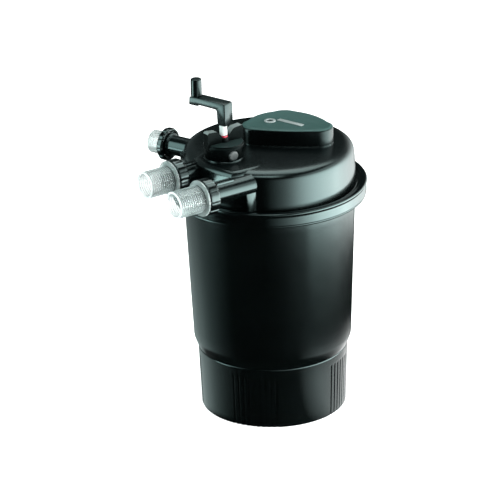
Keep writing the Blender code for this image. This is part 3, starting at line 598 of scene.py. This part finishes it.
def foot_skirt():
    points = foot_points()

    def ring(radius, z, share):
        out = []
        for angle, depth in points:
            r = radius - GROOVE_DEPTH * depth * share
            a = math.radians(angle)
            out.append(Vector((r * math.cos(a), r * math.sin(a), z)))
        return out

    fade_z = GROOVE_TOP - GROOVE_RUNOUT
    walls = [(1.6, 1)]    # (z, share of the groove depth)
    walls += [(1.6 + (fade_z - 1.6) * i / 8, 1) for i in range(1, 9)]
    walls += [(fade_z + GROOVE_RUNOUT * f, share) for f, share in
              ((0.25, 0.97), (0.5, 0.85), (0.75, 0.6), (0.92, 0.3), (1.0, 0.0))]
    walls += [(z, 0) for z in (112.0, 117.0, 122.0, 124.0)]
    stations = [(foot_r(0) - 1.2, 0, 1), (foot_r(1) - 0.3, 0.5, 1)]
    stations += [(foot_r(z), z, share) for z, share in walls]
    stations += [(foot_r(FOOT_H) - 0.4, 124.7, 0), (foot_r(FOOT_H) - 1.2, FOOT_H, 0),
                 (141.6, FOOT_H, 0), (138.0, 4.0, 0)]
    rings = [ring(*station) for station in stations]
    return loft([[Vector((0, 0, 0))]] + rings + [[Vector((0, 0, 4.0))]])


piece("foot_skirt", foot_skirt(), BLACK, "base", sharp=50)

# ----------------------------------------------------- tank shell and locking ring
# (radius, z), up the outside and down the inside
TANK = [(0, 4.4), (134.5, 4.4), (137.0, 7.5), (140.6, 125.4), (147.2, 125.4),
        (148.0, 126.6), (150.6, 133.0), (154.4, 143.5), (155.2, 148.5), (166.5, 434.0),
        (166.5, 441.0), (178.6, 441.0), (178.6, 452.0), (174.6, 452.0), (174.6, 448.6),
        (168.4, 448.6), (168.4, 452.0), (161.5, 452.0), (161.5, 438.0), (150.5, 146.0),
        (136.2, 123.0), (132.6, 9.0), (0, 9.0)]
piece("tank_shell", lathe(densify(rounded(TANK, radius=1.2), step=18.0), segments=192),
      BLACK, "base", sharp=40)

# (radius, z) of the closed section
LOCKING_RING = [(179.2, 437.3), (186.6, 437.3), (187.6, 438.2), (187.9, 440.2),
                (187.4, 441.4), (188.6, 442.6), (188.6, 443.6), (188.6, 446.0),
                (188.6, 458.4), (188.6, 460.6), (188.7, 461.2), (189.2, 462.2),
                (190.0, 463.4), (189.9, 465.4), (188.6, 467.2), (187.4, 467.6),
                (178.5, 467.6), (178.5, 461.5), (184.1, 461.5), (184.1, 452.3),
                (179.2, 452.3)]
piece("locking_ring", turned_ring(LOCKING_RING, radius=0.35, segments=192, steps=2),
      BLACK_RING, "ring", sharp=40)

# ---------------------------------------------------------------------- head shell
# (radius, z), from the middle of the top, down the side and back to the axis
HEAD_OUTER = [(0, 543.6), (40, 543.5), (80, 543.2), (118, 542.4), (130, 541.8),
              (140, 540.9), (146.2, 540.2), (151.3, 539.0), (155.7, 537.3), (159.4, 535.0),
              (162.2, 532.2), (164.1, 528.8), (165.2, 524.6), (165.8, 519.0),
              (166.2, 512.0), (167.1, 492.0), (167.8, 474.0), (168.3, 467.0),
              (169.5, 461.9), (171.0, 461.0), (182.4, 461.0), (183.4, 460.2),
              (183.4, 452.7), (0, 452.7)]
HEAD_INNER = [(0, 539.0), (116, 537.6), (134, 536.0), (146.5, 532.0), (155.0, 526.4),
              (160.0, 519.0), (162.0, 511.0), (163.4, 470.0), (163.4, 440.0), (0, 440.0)]
# (x, y) outlines of the deck over ports A and B and of the lower web beside it
DECK = [(100, -96), (99, -136), (94, -151), (62, -160), (28, -167), (2, -168),
        (-24, -160), (-34, -140), (-24, -60), (70, -60)]
WEB = [(-16, -167), (-52, -160), (-94, -143), (-112, -122), (-96, -80), (-16, -80)]
# the fin's four corners (x, y) at its foot and at the port's axis
FIN_FOOT_Z = 468.6
FIN_FOOT = [(120.6, -133.5), (126.4, -133.5), (126.4, -117.0), (120.6, -117.0)]
FIN_TOP = [(118.0, -138.5), (122.6, -138.5), (122.6, -115.2), (118.0, -115.2)]


def cover_outline(offset, z):
    """The lamp cover's rounded triangle, grown by `offset`, at height z."""
    corners = [(Vector(centre), r + offset) for centre, r in COVER_CORNERS]
    sides = []
    for k in range(3):
        (here, here_r), (there, there_r) = corners[k], corners[(k + 1) % 3]
        along = there - here
        normal = Vector((along.y, -along.x)).normalized()
        sides.append((here + normal * here_r, there + normal * there_r, normal, COVER_BULGE[k]))

    def lean(side):
        start, end, _, bulge = side
        return math.atan2(4 * bulge, (end - start).length)

    points = []
    for k, side in enumerate(sides):
        start, end, normal, bulge = side
        for i in range(21):
            t = i / 20
            points.append(start + (end - start) * t + normal * (4 * bulge * t * (1 - t)))
        centre, radius = corners[(k + 1) % 3]
        following = sides[(k + 1) % 3]
        first = math.atan2(normal.y, normal.x) + lean(side) * 0.5
        last = math.atan2(following[2].y, following[2].x) - lean(following) * 0.5
        while last < first:
            last += 2 * math.pi
        for i in range(1, 18):
            a = first + (last - first) * i / 18
            points.append(centre + Vector((math.cos(a), math.sin(a))) * radius)
    return [Vector((*(COVER_MID + COVER_U * p.x + COVER_V * p.y), z)) for p in points]


def port(start, direction, length, lip_r, inset=0):
    """Pipe from `inset` past its start to a thicker lip at its face."""
    profile = [(0, inset), (PORT_R, inset), (PORT_R, length - 8), (PORT_R + 1.2, length - 6.6),
               (lip_r - 0.8, length - 6.0), (lip_r, length - 5.2), (lip_r, length), (0, length)]
    return lathe(profile, 48, at=aligned(start, direction))


def port_bore(start, direction, length):
    return cylinder(PORT_BORE, 0, length, 40, at=aligned(start, direction), phase=0.071)


def head_shell():
    def outer_top(z):
        """Edge test: above z and more than 134 from the axis."""
        is_above = above(z)
        return lambda e: is_above(e) and ((e.verts[0].co.xy + e.verts[1].co.xy) / 2).length > 134

    deck = bevel(prism(DECK, 497.0, 542.6), 12.0, outer_top(530), segments=6)
    web = bevel(prism(WEB, 500.5, 527.0), 6.0, outer_top(520), segments=4)
    # tapered fin under port A's inner end
    fin = loft([[Vector((x, y, FIN_FOOT_Z)) for x, y in FIN_FOOT],
                [Vector((x, y, PORT_Z)) for x, y in FIN_TOP]])
    bevel(fin, 0.9, segments=2)
    housing = lathe([(0, 476), (38, 476), (38, 544.2), (37.2, 545.2), (0, 545.2)], 72,
                    at=VALVE_AT)
    cover_pad = loft([cover_outline(-0.4, 516.0), cover_outline(-0.4, 545.2)])
    lamp_boss = cylinder(26, 512, 544.6, 56)
    # the hollow leaves walls round the valve chamber and the lamp hole
    hollow = combine(lathe(HEAD_INNER, 72),
                     ("DIFFERENCE", cylinder(37.6, 478, 550, 72, at=VALVE_AT)),
                     ("DIFFERENCE", cylinder(25.6, 520, 560, 56)))
    chamber = lathe([(0, 466), (33.5, 466), (33.5, 537.0), (11.6, 537.0), (11.6, 560),
                     (0, 560)], 56, at=VALVE_AT)

    shell = combine(lathe(densify(HEAD_OUTER, step=16.0), 144),
                    ("UNION", deck), ("UNION", web), ("UNION", housing),
                    ("UNION", cover_pad), ("UNION", lamp_boss))
    shell = combine(
        shell,
        ("UNION", port(PORT_A_START, MINUS_Y, PORT_A_LENGTH, lip_r=24.5)),
        ("UNION", port(PORT_B_START, MINUS_Y, PORT_B_LENGTH, lip_r=24.5)),
        ("UNION", port(PORT_C_START, PORT_C_DIR, PORT_C_LENGTH, lip_r=23.5, inset=10)))
    shell = combine(shell, ("UNION", fin))
    shell = combine(shell, ("DIFFERENCE", hollow))
    shell = combine(shell, ("DIFFERENCE", chamber),
                    ("DIFFERENCE", cylinder(21.0, 500, 570, 56)))
    bore_a_start = (PORT_A_START.x, -60, PORT_Z)
    bore_b_start = (PORT_B_START.x, -100, PORT_Z)
    return combine(shell,
                   ("DIFFERENCE", port_bore(bore_a_start, MINUS_Y, 170)),
                   ("DIFFERENCE", port_bore(bore_b_start, MINUS_Y, 120)),
                   ("DIFFERENCE", port_bore(PORT_C_START, PORT_C_DIR, 170)))


piece("head_shell", head_shell(), BLACK, "base", sharp=28)


def pipe_frame(x0, x1, y0, y1):
    """Raised plain frame on top of a port's pipe."""
    top = 538.4
    block = bevel(box(x0, x1, y0, y1, 529, top), 1.2, above(top - 1))
    recess = box(x0 + 2.0, x1 - 2.0, y0 + 2.2, y1 - 2.2, top - 1.0, top + 5)
    return combine(block, ("DIFFERENCE", recess))


piece("pipe_frame_a", pipe_frame(99, 113, -196, -158), BLACK, "base", in_cad=False)
piece("pipe_frame_b", pipe_frame(-20, -5, -189, -152), BLACK, "base", in_cad=False)

# ---------------------------------------------- hose tails, union nuts and collars
RIB_PITCH = 4.2    # aimed at; a whole number of ribs is fitted
# along one rib: (share of the pitch, depth below the crest)
RIB_SECTION = ((0.08, 1.25), (0.3, 0.15), (0.45, 0.0), (0.6, 0.15), (0.82, 1.25))


def hose_tail(tail):
    """Clear hose tail: flange, plain neck, then fine rounded ribs to the mouth."""
    end, r, bore = tail.length, tail.radius, tail.bore
    profile = [(bore, 3.0), (29.4, 3.0), (29.4, 6.6), (r - 1.6, 6.6), (r - 1.6, 26.0)]
    ribs_z = 27.0
    count = int((end - 3.0 - ribs_z) / RIB_PITCH)
    pitch = (end - 3.0 - ribs_z) / count
    for i in range(count):
        profile += [(r - depth, ribs_z + pitch * (i + f)) for f, depth in RIB_SECTION]
    profile += [(r - 0.9, end - 2.4), (r, end - 1.8), (r, end - 0.5), (r - 0.5, end),
                (bore + 0.4, end), (bore, end - 0.5)]
    # shallow steps inside the bore catch the light as thin rings
    for i in range(9):
        z = end - 4.0 - (end - 14.0) * i / 9
        profile += [(bore, z), (bore + 0.35, z - 1.4), (bore, z - 2.8)]
    return lathe(profile, 96, closed=True, at=aligned(tail.face, MINUS_Y))


def union_nut(face, direction, length, radius, mouth, socket, wall=4.6):
    """Nut with eleven lands parted by grooves; its end wall narrows to the mouth."""
    lands, per_land = 11, 24
    total = lands * per_land

    def grooved(z, cut, share):
        out = []
        for i in range(total):
            f = (i % per_land) / per_land
            a = 2 * math.pi * i / total
            groove = 1.8 * max(0.0, 1.0 - (min(f, 1 - f) / 0.062) ** 2)
            crown = 0.25 * math.cos(2 * math.pi * (f - 0.5))
            r = radius - 0.35 + crown - groove * share - cut
            out.append(Vector((r * math.cos(a), r * math.sin(a), z)))
        return out

    # (z, cut below the full radius, share of the groove depth)
    stations = [(0.5, 2.2, 0.6), (1.6, 0.8, 0.9), (3.0, 0.1, 1.0), (3.6, 0.0, 1.0)]
    stations += [(3.6 + (length - 7.2) * i / 5, 0.0, 1.0) for i in range(1, 5)]
    stations += [(length - 3.6, 0.0, 1.0), (length - 2.6, 0.2, 1.0), (length - 1.4, 1.0, 0.8)]
    # (radius, z) over the end, through the mouth and down the socket
    inside = [(radius - 2.6, length - 0.5), (radius - 3.4, length), (mouth + 0.6, length),
              (mouth, length - 0.6), (mouth, length - wall), (socket, length - wall),
              (socket, 0)]
    mesh = loft([circle(radius - 3.4, 0, total)] + [grooved(*s) for s in stations]
                + [circle(r, z, total) for r, z in inside], closed=True)
    start = face - direction * 3.0
    bmesh.ops.transform(mesh, matrix=aligned(start, direction), verts=mesh.verts)
    return mesh


def clear_collar(tail):
    inner = tail.radius - 1.0
    section = [(inner, 21.4), (34.9, 21.4), (34.9, 25.0), (32.6, 25.0), (31.8, 24.2),
               (28.6, 24.2), (27.8, 25.0), (inner, 25.0)]
    return turned_ring(section, radius=0.7, segments=96, at=aligned(tail.face, MINUS_Y))


for tag, tail in HOSE_TAILS.items():
    piece("hose_tail_" + tag, hose_tail(tail), CLEAR_TAILS[tag], "base",
          sharp=60)
for tag, tail in HOSE_TAILS.items():
    nut = union_nut(tail.face, MINUS_Y, length=24.0, radius=35.5, mouth=28.6, socket=30.4)
    piece("union_nut_" + tag, nut, BLACK_NUT, "nut_" + tag, sharp=45)
nut = union_nut(PORT_C_FACE, PORT_C_DIR, length=14.0, radius=32.5, mouth=23.4, socket=27.4,
                wall=4.0)
piece("union_nut_c", nut, BLACK_NUT, "nut_c", sharp=45)
for tag, tail in HOSE_TAILS.items():
    piece("clear_collar_" + tag, clear_collar(tail), CLOUDY, "base")

# (radius, distance from the port's face) of the closed section
RINSE_STUB = [(17.0, 3.0), (26.4, 3.0), (26.4, 6.5), (21.2, 6.5), (22.2, 20.0),
              (22.2, 24.0), (21.5, 25.2), (22.2, 26.4), (22.2, 30.0), (21.5, 31.2),
              (22.2, 32.4), (22.2, 38.0), (17.0, 38.0)]
piece("rinse_stub", turned_ring(RINSE_STUB, radius=0.5, segments=80,
                                at=aligned(PORT_C_FACE, PORT_C_DIR)),
      CLOUDY, "base")

# ------------------------------------------------------------------------ selector
KNOB_Z0 = 545.6
KNOB_Z1 = 575.0
BLADE_TOP = 601.0
SADDLE_Z = 582.0       # the blade's top edge at its lowest, over the valve axis
BLADE_HALF = 40.6
BUTTON_DIR = heading(-6)
BUTTON_AT = aligned(Vector((VALVE_X, VALVE_Y, 557.0)), BUTTON_DIR)


def saddle(y):
    """Height of the blade's top edge across the knob."""
    t = min(abs(y) / 22.0, 1.0)
    return SADDLE_Z + (BLADE_TOP - 1.5 - SADDLE_Z) * (t * t * (3 - 2 * t))


def selector_knob():
    """Round knob with an upright blade across it along Y."""
    body = rounded([(0, KNOB_Z0), (35.5, KNOB_Z0), (40.0, KNOB_Z0 + 11), (40.0, KNOB_Z1 - 5.0),
                    (37.8, KNOB_Z1 - 2.6), (37.2, KNOB_Z1), (0, KNOB_Z1)], radius=1.4)
    # (y, z) of the blade's outline, both y and z standing upright through blade_at
    outline = [(-BLADE_HALF, KNOB_Z1 - 9), (BLADE_HALF, KNOB_Z1 - 9),
               (BLADE_HALF, BLADE_TOP - 3), (BLADE_HALF - 1.2, BLADE_TOP - 0.9),
               (BLADE_HALF - 3.5, BLADE_TOP)]
    outline += [(y, saddle(y)) for y in range(22, -23, -2)]
    outline += [(-BLADE_HALF + 3.5, BLADE_TOP), (-BLADE_HALF + 1.2, BLADE_TOP - 0.9),
                (-BLADE_HALF, BLADE_TOP - 3)]
    blade_at = Matrix(((0, 0, 1, VALVE_X), (1, 0, 0, VALVE_Y), (0, 1, 0, 0), (0, 0, 0, 1)))
    blade = prism(outline, -7.5, 7.5, at=blade_at)
    hub = rounded([(0, KNOB_Z1 - 4), (11.6, KNOB_Z1 - 4), (10.6, 584.0), (0, 584.0)], radius=0.8)
    stem = cylinder(10.9, 539.5, KNOB_Z0 + 2, 48, at=VALVE_AT)
    shaft_bore = lathe([(0, 520), (6.6, 520), (6.6, 581.0), (8.6, 581.0), (8.6, 640),
                        (0, 640)], 48, at=VALVE_AT, phase=0.05)
    button_pocket = cylinder(10.4, 31.0, 60, 48, at=BUTTON_AT)
    return combine(lathe(body, 96, at=VALVE_AT),
                   ("UNION", blade),
                   ("UNION", lathe(hub, 64, at=VALVE_AT, phase=0.03)),
                   ("UNION", stem),
                   ("DIFFERENCE", shaft_bore),
                   ("DIFFERENCE", button_pocket))


piece("selector_knob", selector_knob(), BLACK_KNOB, "selector", sharp=28)

LOCK_BUTTON = [(0, 33.6), (9.9, 33.6), (9.9, 39.6), (8.4, 41.2), (0, 41.2)]
piece("lock_button", lathe(rounded(LOCK_BUTTON, radius=0.8), 64, at=BUTTON_AT),
      GREY, "button")

POINTER_RING = [(6.9, 581.4), (8.2, 581.4), (8.2, 587.0), (6.9, 587.0)]
piece("pointer_ring", turned_ring(POINTER_RING, radius=0.4, segments=56, at=VALVE_AT),
      RED, "selector")

SHAFT_BUSH = [(5.5, 588.0), (7.4, 588.0), (7.4, 598.2), (6.9, 598.8), (6.9, 600.0),
              (7.4, 600.6), (7.4, 607.6), (3.8, 607.6), (3.8, 591.0), (5.5, 591.0)]
piece("shaft_bush", turned_ring(SHAFT_BUSH, radius=0.4, segments=56, at=VALVE_AT),
      WHITE, "crank")

# --------------------------------------------------------------------------- crank
ARM_LENGTH = 65.0      # valve axis to grip axis
ARM_TOP = 653.0
ARM_WIDTH = 24.0
ARM_SHIFT = 3.0        # the arm sits this far to one side of the valve axis
ARM_DROP = 1.0         # the top falls by this much towards the grip
ARM_COS, ARM_SIN = math.cos(math.radians(196.0)), math.sin(math.radians(196.0))
GRIP_AT = Matrix.Translation(Vector((VALVE_X + ARM_COS * ARM_LENGTH,
                                     VALVE_Y + ARM_SIN * ARM_LENGTH, 0)))
GRIP_Z = ARM_TOP - ARM_DROP + 0.5


def crank_arm():
    # side view: (distance out from the valve axis, z)
    side = [(-12.5, 608.0), (7.0, 608.0), (8.6, 635.0), (9.6, 637.4), (12.0, 638.4),
            (ARM_LENGTH - 11, 638.4), (ARM_LENGTH - 9, 635.4), (ARM_LENGTH + 12.5, 634.8),
            (ARM_LENGTH + 11.0, ARM_TOP - ARM_DROP - 1),
            (ARM_LENGTH - 12.5, ARM_TOP - ARM_DROP),
            (-7.5, ARM_TOP), (-10.6, ARM_TOP - 1.0), (-12.0, ARM_TOP - 3.5)]
    arm = prism(side, -ARM_WIDTH / 2 + ARM_SHIFT, ARM_WIDTH / 2 + ARM_SHIFT)

    def across_tip(edge):
        first, second = (v.co for v in edge.verts)
        return min(first.x, second.x) > ARM_LENGTH + 9 and abs(first.z - second.z) > 5

    bevel(arm, 2.4, across_tip)
    bevel(arm, 1.5, lambda e: e.calc_face_angle(0) > math.radians(50))
    # stand the side view upright and turn it to the arm's heading
    arm_at = Matrix(((ARM_COS, 0, ARM_SIN, VALVE_X), (ARM_SIN, 0, -ARM_COS, VALVE_Y),
                     (0, 1, 0, 0), (0, 0, 0, 1)))
    bmesh.ops.transform(arm, matrix=arm_at, verts=arm.verts)
    return combine(arm, ("DIFFERENCE", cylinder(4.0, 590, 630, 40, at=VALVE_AT)),
                   ("DIFFERENCE", cylinder(3.3, 632, 700, 40, at=GRIP_AT)))


piece("crank_arm", crank_arm(), BLACK_ARM, "crank", sharp=30)

# (radius, height above GRIP_Z) of the closed section
GRIP = [(3.4, 0), (9.9, 0), (10.9, 1.0), (10.8, 4.0), (10.4, 32.8), (9.6, 34.2), (8.6, 34.7),
        (0, 35.0), (0, 30.2), (5.1, 30.2), (5.1, 27.1), (3.4, 27.1)]
piece("crank_grip", turned_ring([(r, GRIP_Z + z) for r, z in GRIP], radius=0.6, segments=72,
                                at=GRIP_AT), BLACK_ARM, "grip")

CRANK_SHAFT = [(0, 426.6), (5.2, 426.6), (5.2, 590.6), (3.5, 590.6), (3.5, 629.0), (0, 629.0)]
piece("crank_shaft", lathe(rounded(CRANK_SHAFT, radius=0.4), 48, at=VALVE_AT),
      STEEL, "crank")

# ---------------------------------------------------------------------- lamp cover
COVER_Z0 = 545.6
COVER_Z1 = 578.0
BEZEL_AT = Matrix.Translation((-14.6, 14.7, 0))


def lamp_cover():
    # (growth of the outline, z): bottom edge, side wall, rounded shoulder
    stations = [(-3.4, COVER_Z0), (-0.6, COVER_Z0), (0.0, COVER_Z0 + 0.6)]
    stations += [(0.0, COVER_Z0 + 0.6 + (COVER_Z1 - 5.2 - COVER_Z0) * i / 4)
                 for i in range(1, 5)]
    for f in (0.2, 0.4, 0.6, 0.8, 1.0):
        a = f * math.pi / 2
        stations.append((-3.6 * (1 - math.cos(a)), COVER_Z1 - 4.6 + 3.9 * math.sin(a)))
    # a low raised rim round a very slightly sunken top
    stations += [(-4.6, COVER_Z1 - 0.2), (-5.8, COVER_Z1), (-7.4, COVER_Z1),
                 (-8.4, COVER_Z1 - 0.25), (-9.2, COVER_Z1 - 0.45)]
    body = loft([cover_outline(*station) for station in stations])
    hollow = loft([cover_outline(-3.9, COVER_Z0 - 5), cover_outline(-3.9, COVER_Z1 - 4.6)])
    lens_hole = cylinder(5.6, COVER_Z1 - 8, COVER_Z1 + 5, 56, at=BEZEL_AT)
    return combine(body, ("DIFFERENCE", hollow), ("DIFFERENCE", lens_hole))


def blank_badge():
    badge_at = Matrix.Translation((17.4, 40.7, 0)) @ Matrix.Rotation(math.radians(18.0), 4, "Z")
    badge = bevel(box(-29.0, 29.0, -5.0, 5.0, COVER_Z1 + 0.1, COVER_Z1 + 1.2), 0.4,
                  above(COVER_Z1 + 1), segments=2)
    bmesh.ops.transform(badge, matrix=badge_at, verts=badge.verts)
    return badge


piece("lamp_cover", lamp_cover(), COVER_SATIN, "cover", sharp=30)

# (radius, height above COVER_Z1)
BEZEL = [(5.9, 0.1), (11.4, 0.1), (10.9, 1.5), (6.6, 1.9), (5.9, 1.2)]
piece("indicator_bezel", turned_ring([(r, COVER_Z1 + z) for r, z in BEZEL], radius=0.35,
                                     segments=80, at=BEZEL_AT),
      SILVER, "cover")

INDICATOR_LENS = [(0, -4.0), (5.1, -4.0), (5.1, 0.2), (4.4, 0.7), (2.4, 1.0), (0, 1.1)]
piece("indicator_lens", lathe([(r, COVER_Z1 + z) for r, z in INDICATOR_LENS], 56, at=BEZEL_AT),
      LENS, "cover")

piece("blank_badge", blank_badge(), SILVER, "cover")

# (radius, distance out along COVER_V) of the closed section
CABLE_GLAND = [(4.0, 0.9), (9.5, 0.9), (9.5, 6.0), (7.5, 8.0), (7.5, 10.0), (6.9, 10.8),
               (7.4, 11.6), (6.7, 13.0), (7.2, 13.8), (6.4, 15.4), (6.8, 16.2), (5.6, 20.0),
               (4.0, 20.0)]
gland_dir = COVER_V.to_3d()
gland_start = Vector((COVER_MID.x, COVER_MID.y, 561.0)) + gland_dir * 91.6
piece("cable_gland", turned_ring(CABLE_GLAND, radius=0.4, segments=56,
                                 at=aligned(gland_start, gland_dir)),
      RUBBER, "cover")


# --------------------------------------------------------------------------- floor
def floor_material():
    """White and glowing to the camera, plain white to diffuse rays. Reflections see only
    a pale pool of light round the foot, mostly on the right."""
    material = bpy.data.materials.new("m_floor")
    nodes = Nodes(material, clear=True)
    coord = nodes.coord()
    colour = nodes.mix(nodes.noise(coord, scale=3.0), (0.80, 0.80, 0.80), (0.84, 0.84, 0.84))
    white = nodes.node("BsdfDiffuse", {"Color": colour}).outputs[0]
    glow = nodes.node("Emission", {"Strength": 0.86}).outputs[0]
    glowing = nodes.node("AddShader", {0: white, 1: glow}).outputs[0]

    distance = nodes.vector("LENGTH", coord)
    near = nodes.remap(distance, span=(0.30, 0.48), to=(1.0, 0.0))
    # only shallow rays, so that the downward shoulder of the tank stays dark
    incoming = nodes.node("NewGeometry").outputs["Incoming"]
    shallow = nodes.remap(nodes.axis(incoming, "Z"), span=(0.55, 0.75), to=(1.0, 0.0))
    near = nodes.times(near, shallow)
    rightward = nodes.math("DIVIDE", nodes.vector("DOT_PRODUCT", coord, tuple(RIGHT)), distance)
    lobe = nodes.plus(nodes.remap(rightward, span=(0.52, 0.86), to=(0.0, 1.9)),
                      nodes.remap(rightward, span=(-0.60, -0.95), to=(0.0, 0.1)))
    pool = nodes.node("Emission", {"Strength": nodes.times(near, lobe)}).outputs[0]
    clear = nodes.node("BsdfTransparent").outputs[0]
    reflected = nodes.node("AddShader", {0: clear, 1: pool}).outputs[0]

    ray = nodes.node("LightPath").outputs
    unseen = nodes.node("MixShader", {0: ray["Is Glossy Ray"], 1: white, 2: reflected})
    surface = nodes.node("MixShader", {0: ray["Is Camera Ray"], 1: unseen.outputs[0],
                                       2: glowing})
    nodes.node("OutputMaterial", {"Surface": surface.outputs[0]})
    return material


def add_floor():
    material = floor_material()
    mesh = bmesh.new()
    bmesh.ops.create_grid(mesh, x_segments=8, y_segments=8, size=14.0)
    for v in mesh.verts:
        v.co.z = -0.0005    # just below the foot
    data = bpy.data.meshes.new("floor")
    mesh.to_mesh(data)
    mesh.free()
    data.materials.append(material)
    floor = bpy.data.objects.new("floor", data)
    bpy.context.scene.collection.objects.link(floor)
    floor.visible_shadow = False


add_floor()

# -------------------------------------------------------------------- light screen
SCREEN_R = 2.0
SCREEN_Z = (-1.25, 2.6)
# Each patch of light is a strength by turn times a share by height. Turn is in degrees
# from the camera's side, positive to the right; height is in metres. A patch is
# (turn stops, range of the height ramp, height stops); a stop is (place, value).
SCREEN_PATCHES = (
    # right, main part: a soft ramp from the camera's side
    (((-4, 0.0), (6, 0.5), (18, 1.4), (27, 2.8), (36, 5.4), (45, 8.0), (60, 11.0),
      (75, 12.2), (95, 12.0), (112, 7.4), (130, 4.0), (155, 1.4), (168, 0.0)),
     (-1.4, 1.301), ((-0.41, 0.0), (-0.33, 1.0), (0.6, 1.0), (1.29, 0.5), (1.3, 0.0))),
    # right, lower part: a cleaner edge
    (((46, 0.0), (54, 8.0), (60, 10.5), (75, 12.2), (95, 12.0), (112, 7.4), (130, 4.0),
      (155, 1.0), (168, 0.0)),
     (-1.4, 1.4), ((-0.60, 0.0), (-0.52, 0.02), (-0.46, 0.40), (-0.41, 1.0), (-0.33, 0.0))),
    # left: faint
    (((-168, 0.5), (-140, 0.9), (-118, 1.0), (-96, 0.55), (-78, 0.2), (-60, 0.0)),
     (-1.4, 1.4), ((-1.2, 0.5), (-1.0, 1.0), (-0.7, 0.75), (-0.45, 0.5), (0.3, 0.45),
                   (1.2, 0.2))),
    # right, high up
    (((30, 0.0), (60, 3.2), (95, 3.6), (125, 1.6), (150, 0.0)),
     (0.9, 2.7), ((1.2, 0.0), (1.3, 1.0), (2.5, 0.45), (2.6, 0.0))),
    # a tall soft patch on the left for the rinse pipe
    (((-96, 0.0), (-82, 5.0), (-62, 5.0), (-48, 0.0)),
     (0.2, 2.7), ((0.3, 0.0), (0.7, 1.0), (2.3, 1.0), (2.6, 0.0))),
    # a bright patch for the crank's long side
    (((-96, 0.0), (-88, 12.0), (-71, 12.0), (-64, 0.0)),
     (-0.4, 0.6), ((-0.21, 0.0), (-0.17, 1.0), (0.3, 0.8), (0.45, 0.0))),
)


def level_direction(degrees):
    """Level direction, turned to the right from the camera's side."""
    a = math.radians(degrees)
    return TOWARD * math.cos(a) + RIGHT * math.sin(a)


def screen_material():
    material = bpy.data.materials.new("m_light_screen")
    nodes = Nodes(material, clear=True)
    coord = nodes.coord()

    def along(direction):
        return nodes.vector("DOT_PRODUCT", coord, tuple(direction))

    def curve(value, span, stops):
        """Piecewise straight curve through the stops."""
        low, high = span
        ramp = nodes.node("ValToRGB", {0: nodes.remap(value, span)})
        ramp.color_ramp.interpolation = "LINEAR"
        elements = ramp.color_ramp.elements
        while len(elements) > 1:
            elements.remove(elements[-1])
        for i, (place, level) in enumerate(stops):
            position = (place - low) / (high - low)
            if i == 0:
                elements[0].position = position
                element = elements[0]
            else:
                element = elements.new(position)
            element.color = (level, level, level, 1.0)
        return ramp.outputs[0]

    turn = nodes.math("ARCTAN2", along(RIGHT), along(TOWARD))
    turn = nodes.times(turn, 180.0 / math.pi)
    height = along((0, 0, 1))
    total = None
    for turn_stops, height_span, height_stops in SCREEN_PATCHES:
        patch = nodes.times(curve(turn, (-180, 180), turn_stops),
                            curve(height, height_span, height_stops))
        total = nodes.plus(total, patch) if total else patch
    colour = nodes.mix(nodes.remap(turn, span=(-20.0, 20.0)),
                       (0.80, 1.0, 0.985), (0.93, 1.0, 0.99))
    light = nodes.node("Emission", {"Color": colour, "Strength": total})
    nodes.node("OutputMaterial", {"Surface": light.outputs[0]})
    return material


def add_light_screen():
    """Curved screen round the object, open for 20 degrees behind it."""
    mesh = bmesh.new()
    columns, levels = 96, 12
    low, high = SCREEN_Z
    rows = []
    for k in range(levels + 1):
        up = Vector((0, 0, low + (high - low) * k / levels))
        rows.append([mesh.verts.new(level_direction(-170 + 340 * i / columns) * SCREEN_R + up)
                     for i in range(columns + 1)])
    for lower, upper in zip(rows, rows[1:]):
        for i in range(columns):
            mesh.faces.new((lower[i], lower[i + 1], upper[i + 1], upper[i]))
    data = bpy.data.meshes.new("light_screen")
    mesh.to_mesh(data)
    mesh.free()
    data.materials.append(screen_material())
    screen = bpy.data.objects.new("light_screen", data)
    bpy.context.scene.collection.objects.link(screen)
    screen.visible_camera = False
    screen.visible_shadow = False


add_light_screen()


# ------------------------------------------------------- area lights, world, camera
def softbox(name, turn, rise, distance, width, height, power):
    """Area light aimed at the middle of the object. `turn` is in degrees to the right of
    the camera's side and `rise` in degrees above the floor."""
    e = math.radians(rise)
    direction = level_direction(turn) * math.cos(e) + Vector((0, 0, math.sin(e)))
    light = bpy.data.lights.new(name, "AREA")
    light.shape = "RECTANGLE"
    light.size, light.size_y = width, height
    light.energy = power
    light.color = (0.93, 1.0, 0.985)
    ob = bpy.data.objects.new(name, light)
    bpy.context.scene.collection.objects.link(ob)
    ob.location = Vector((0, 0, 0.42)) + direction * distance
    ob.rotation_euler = (-direction).to_track_quat("-Z", "Y").to_euler()


softbox("top_front", turn=-8, rise=67, distance=2.4, width=1.0, height=0.9, power=12)
softbox("top", turn=165, rise=66, distance=2.2, width=1.8, height=1.4, power=30)
softbox("front_fill", turn=10, rise=55, distance=3.0, width=0.8, height=0.8, power=3)


def add_world():
    """White to the camera, nearly black to every other ray."""
    world = bpy.data.worlds.new("studio")
    bpy.context.scene.world = world
    nodes = Nodes(world)
    seen = nodes.node("LightPath").outputs["Is Camera Ray"]
    nodes.feed(nodes.tree.nodes["Background"], {
        "Color": nodes.mix(seen, (0.010, 0.015, 0.014), (1.0, 1.0, 1.0)),
        "Strength": 1.0})


def add_camera():
    camera = bpy.data.cameras.new("camera")
    camera.sensor_width = 36.0
    camera.lens = 247.457
    camera.clip_end = 60.0
    ob = bpy.data.objects.new("camera", camera)
    bpy.context.scene.collection.objects.link(ob)
    ob.location = (5.1158, -3.5000, 2.9167)
    ob.rotation_euler = (1.1736, 0.0228, 0.9678)
    bpy.context.scene.camera = ob


add_world()
add_camera()
bpy.context.scene.view_settings.view_transform = "Standard"
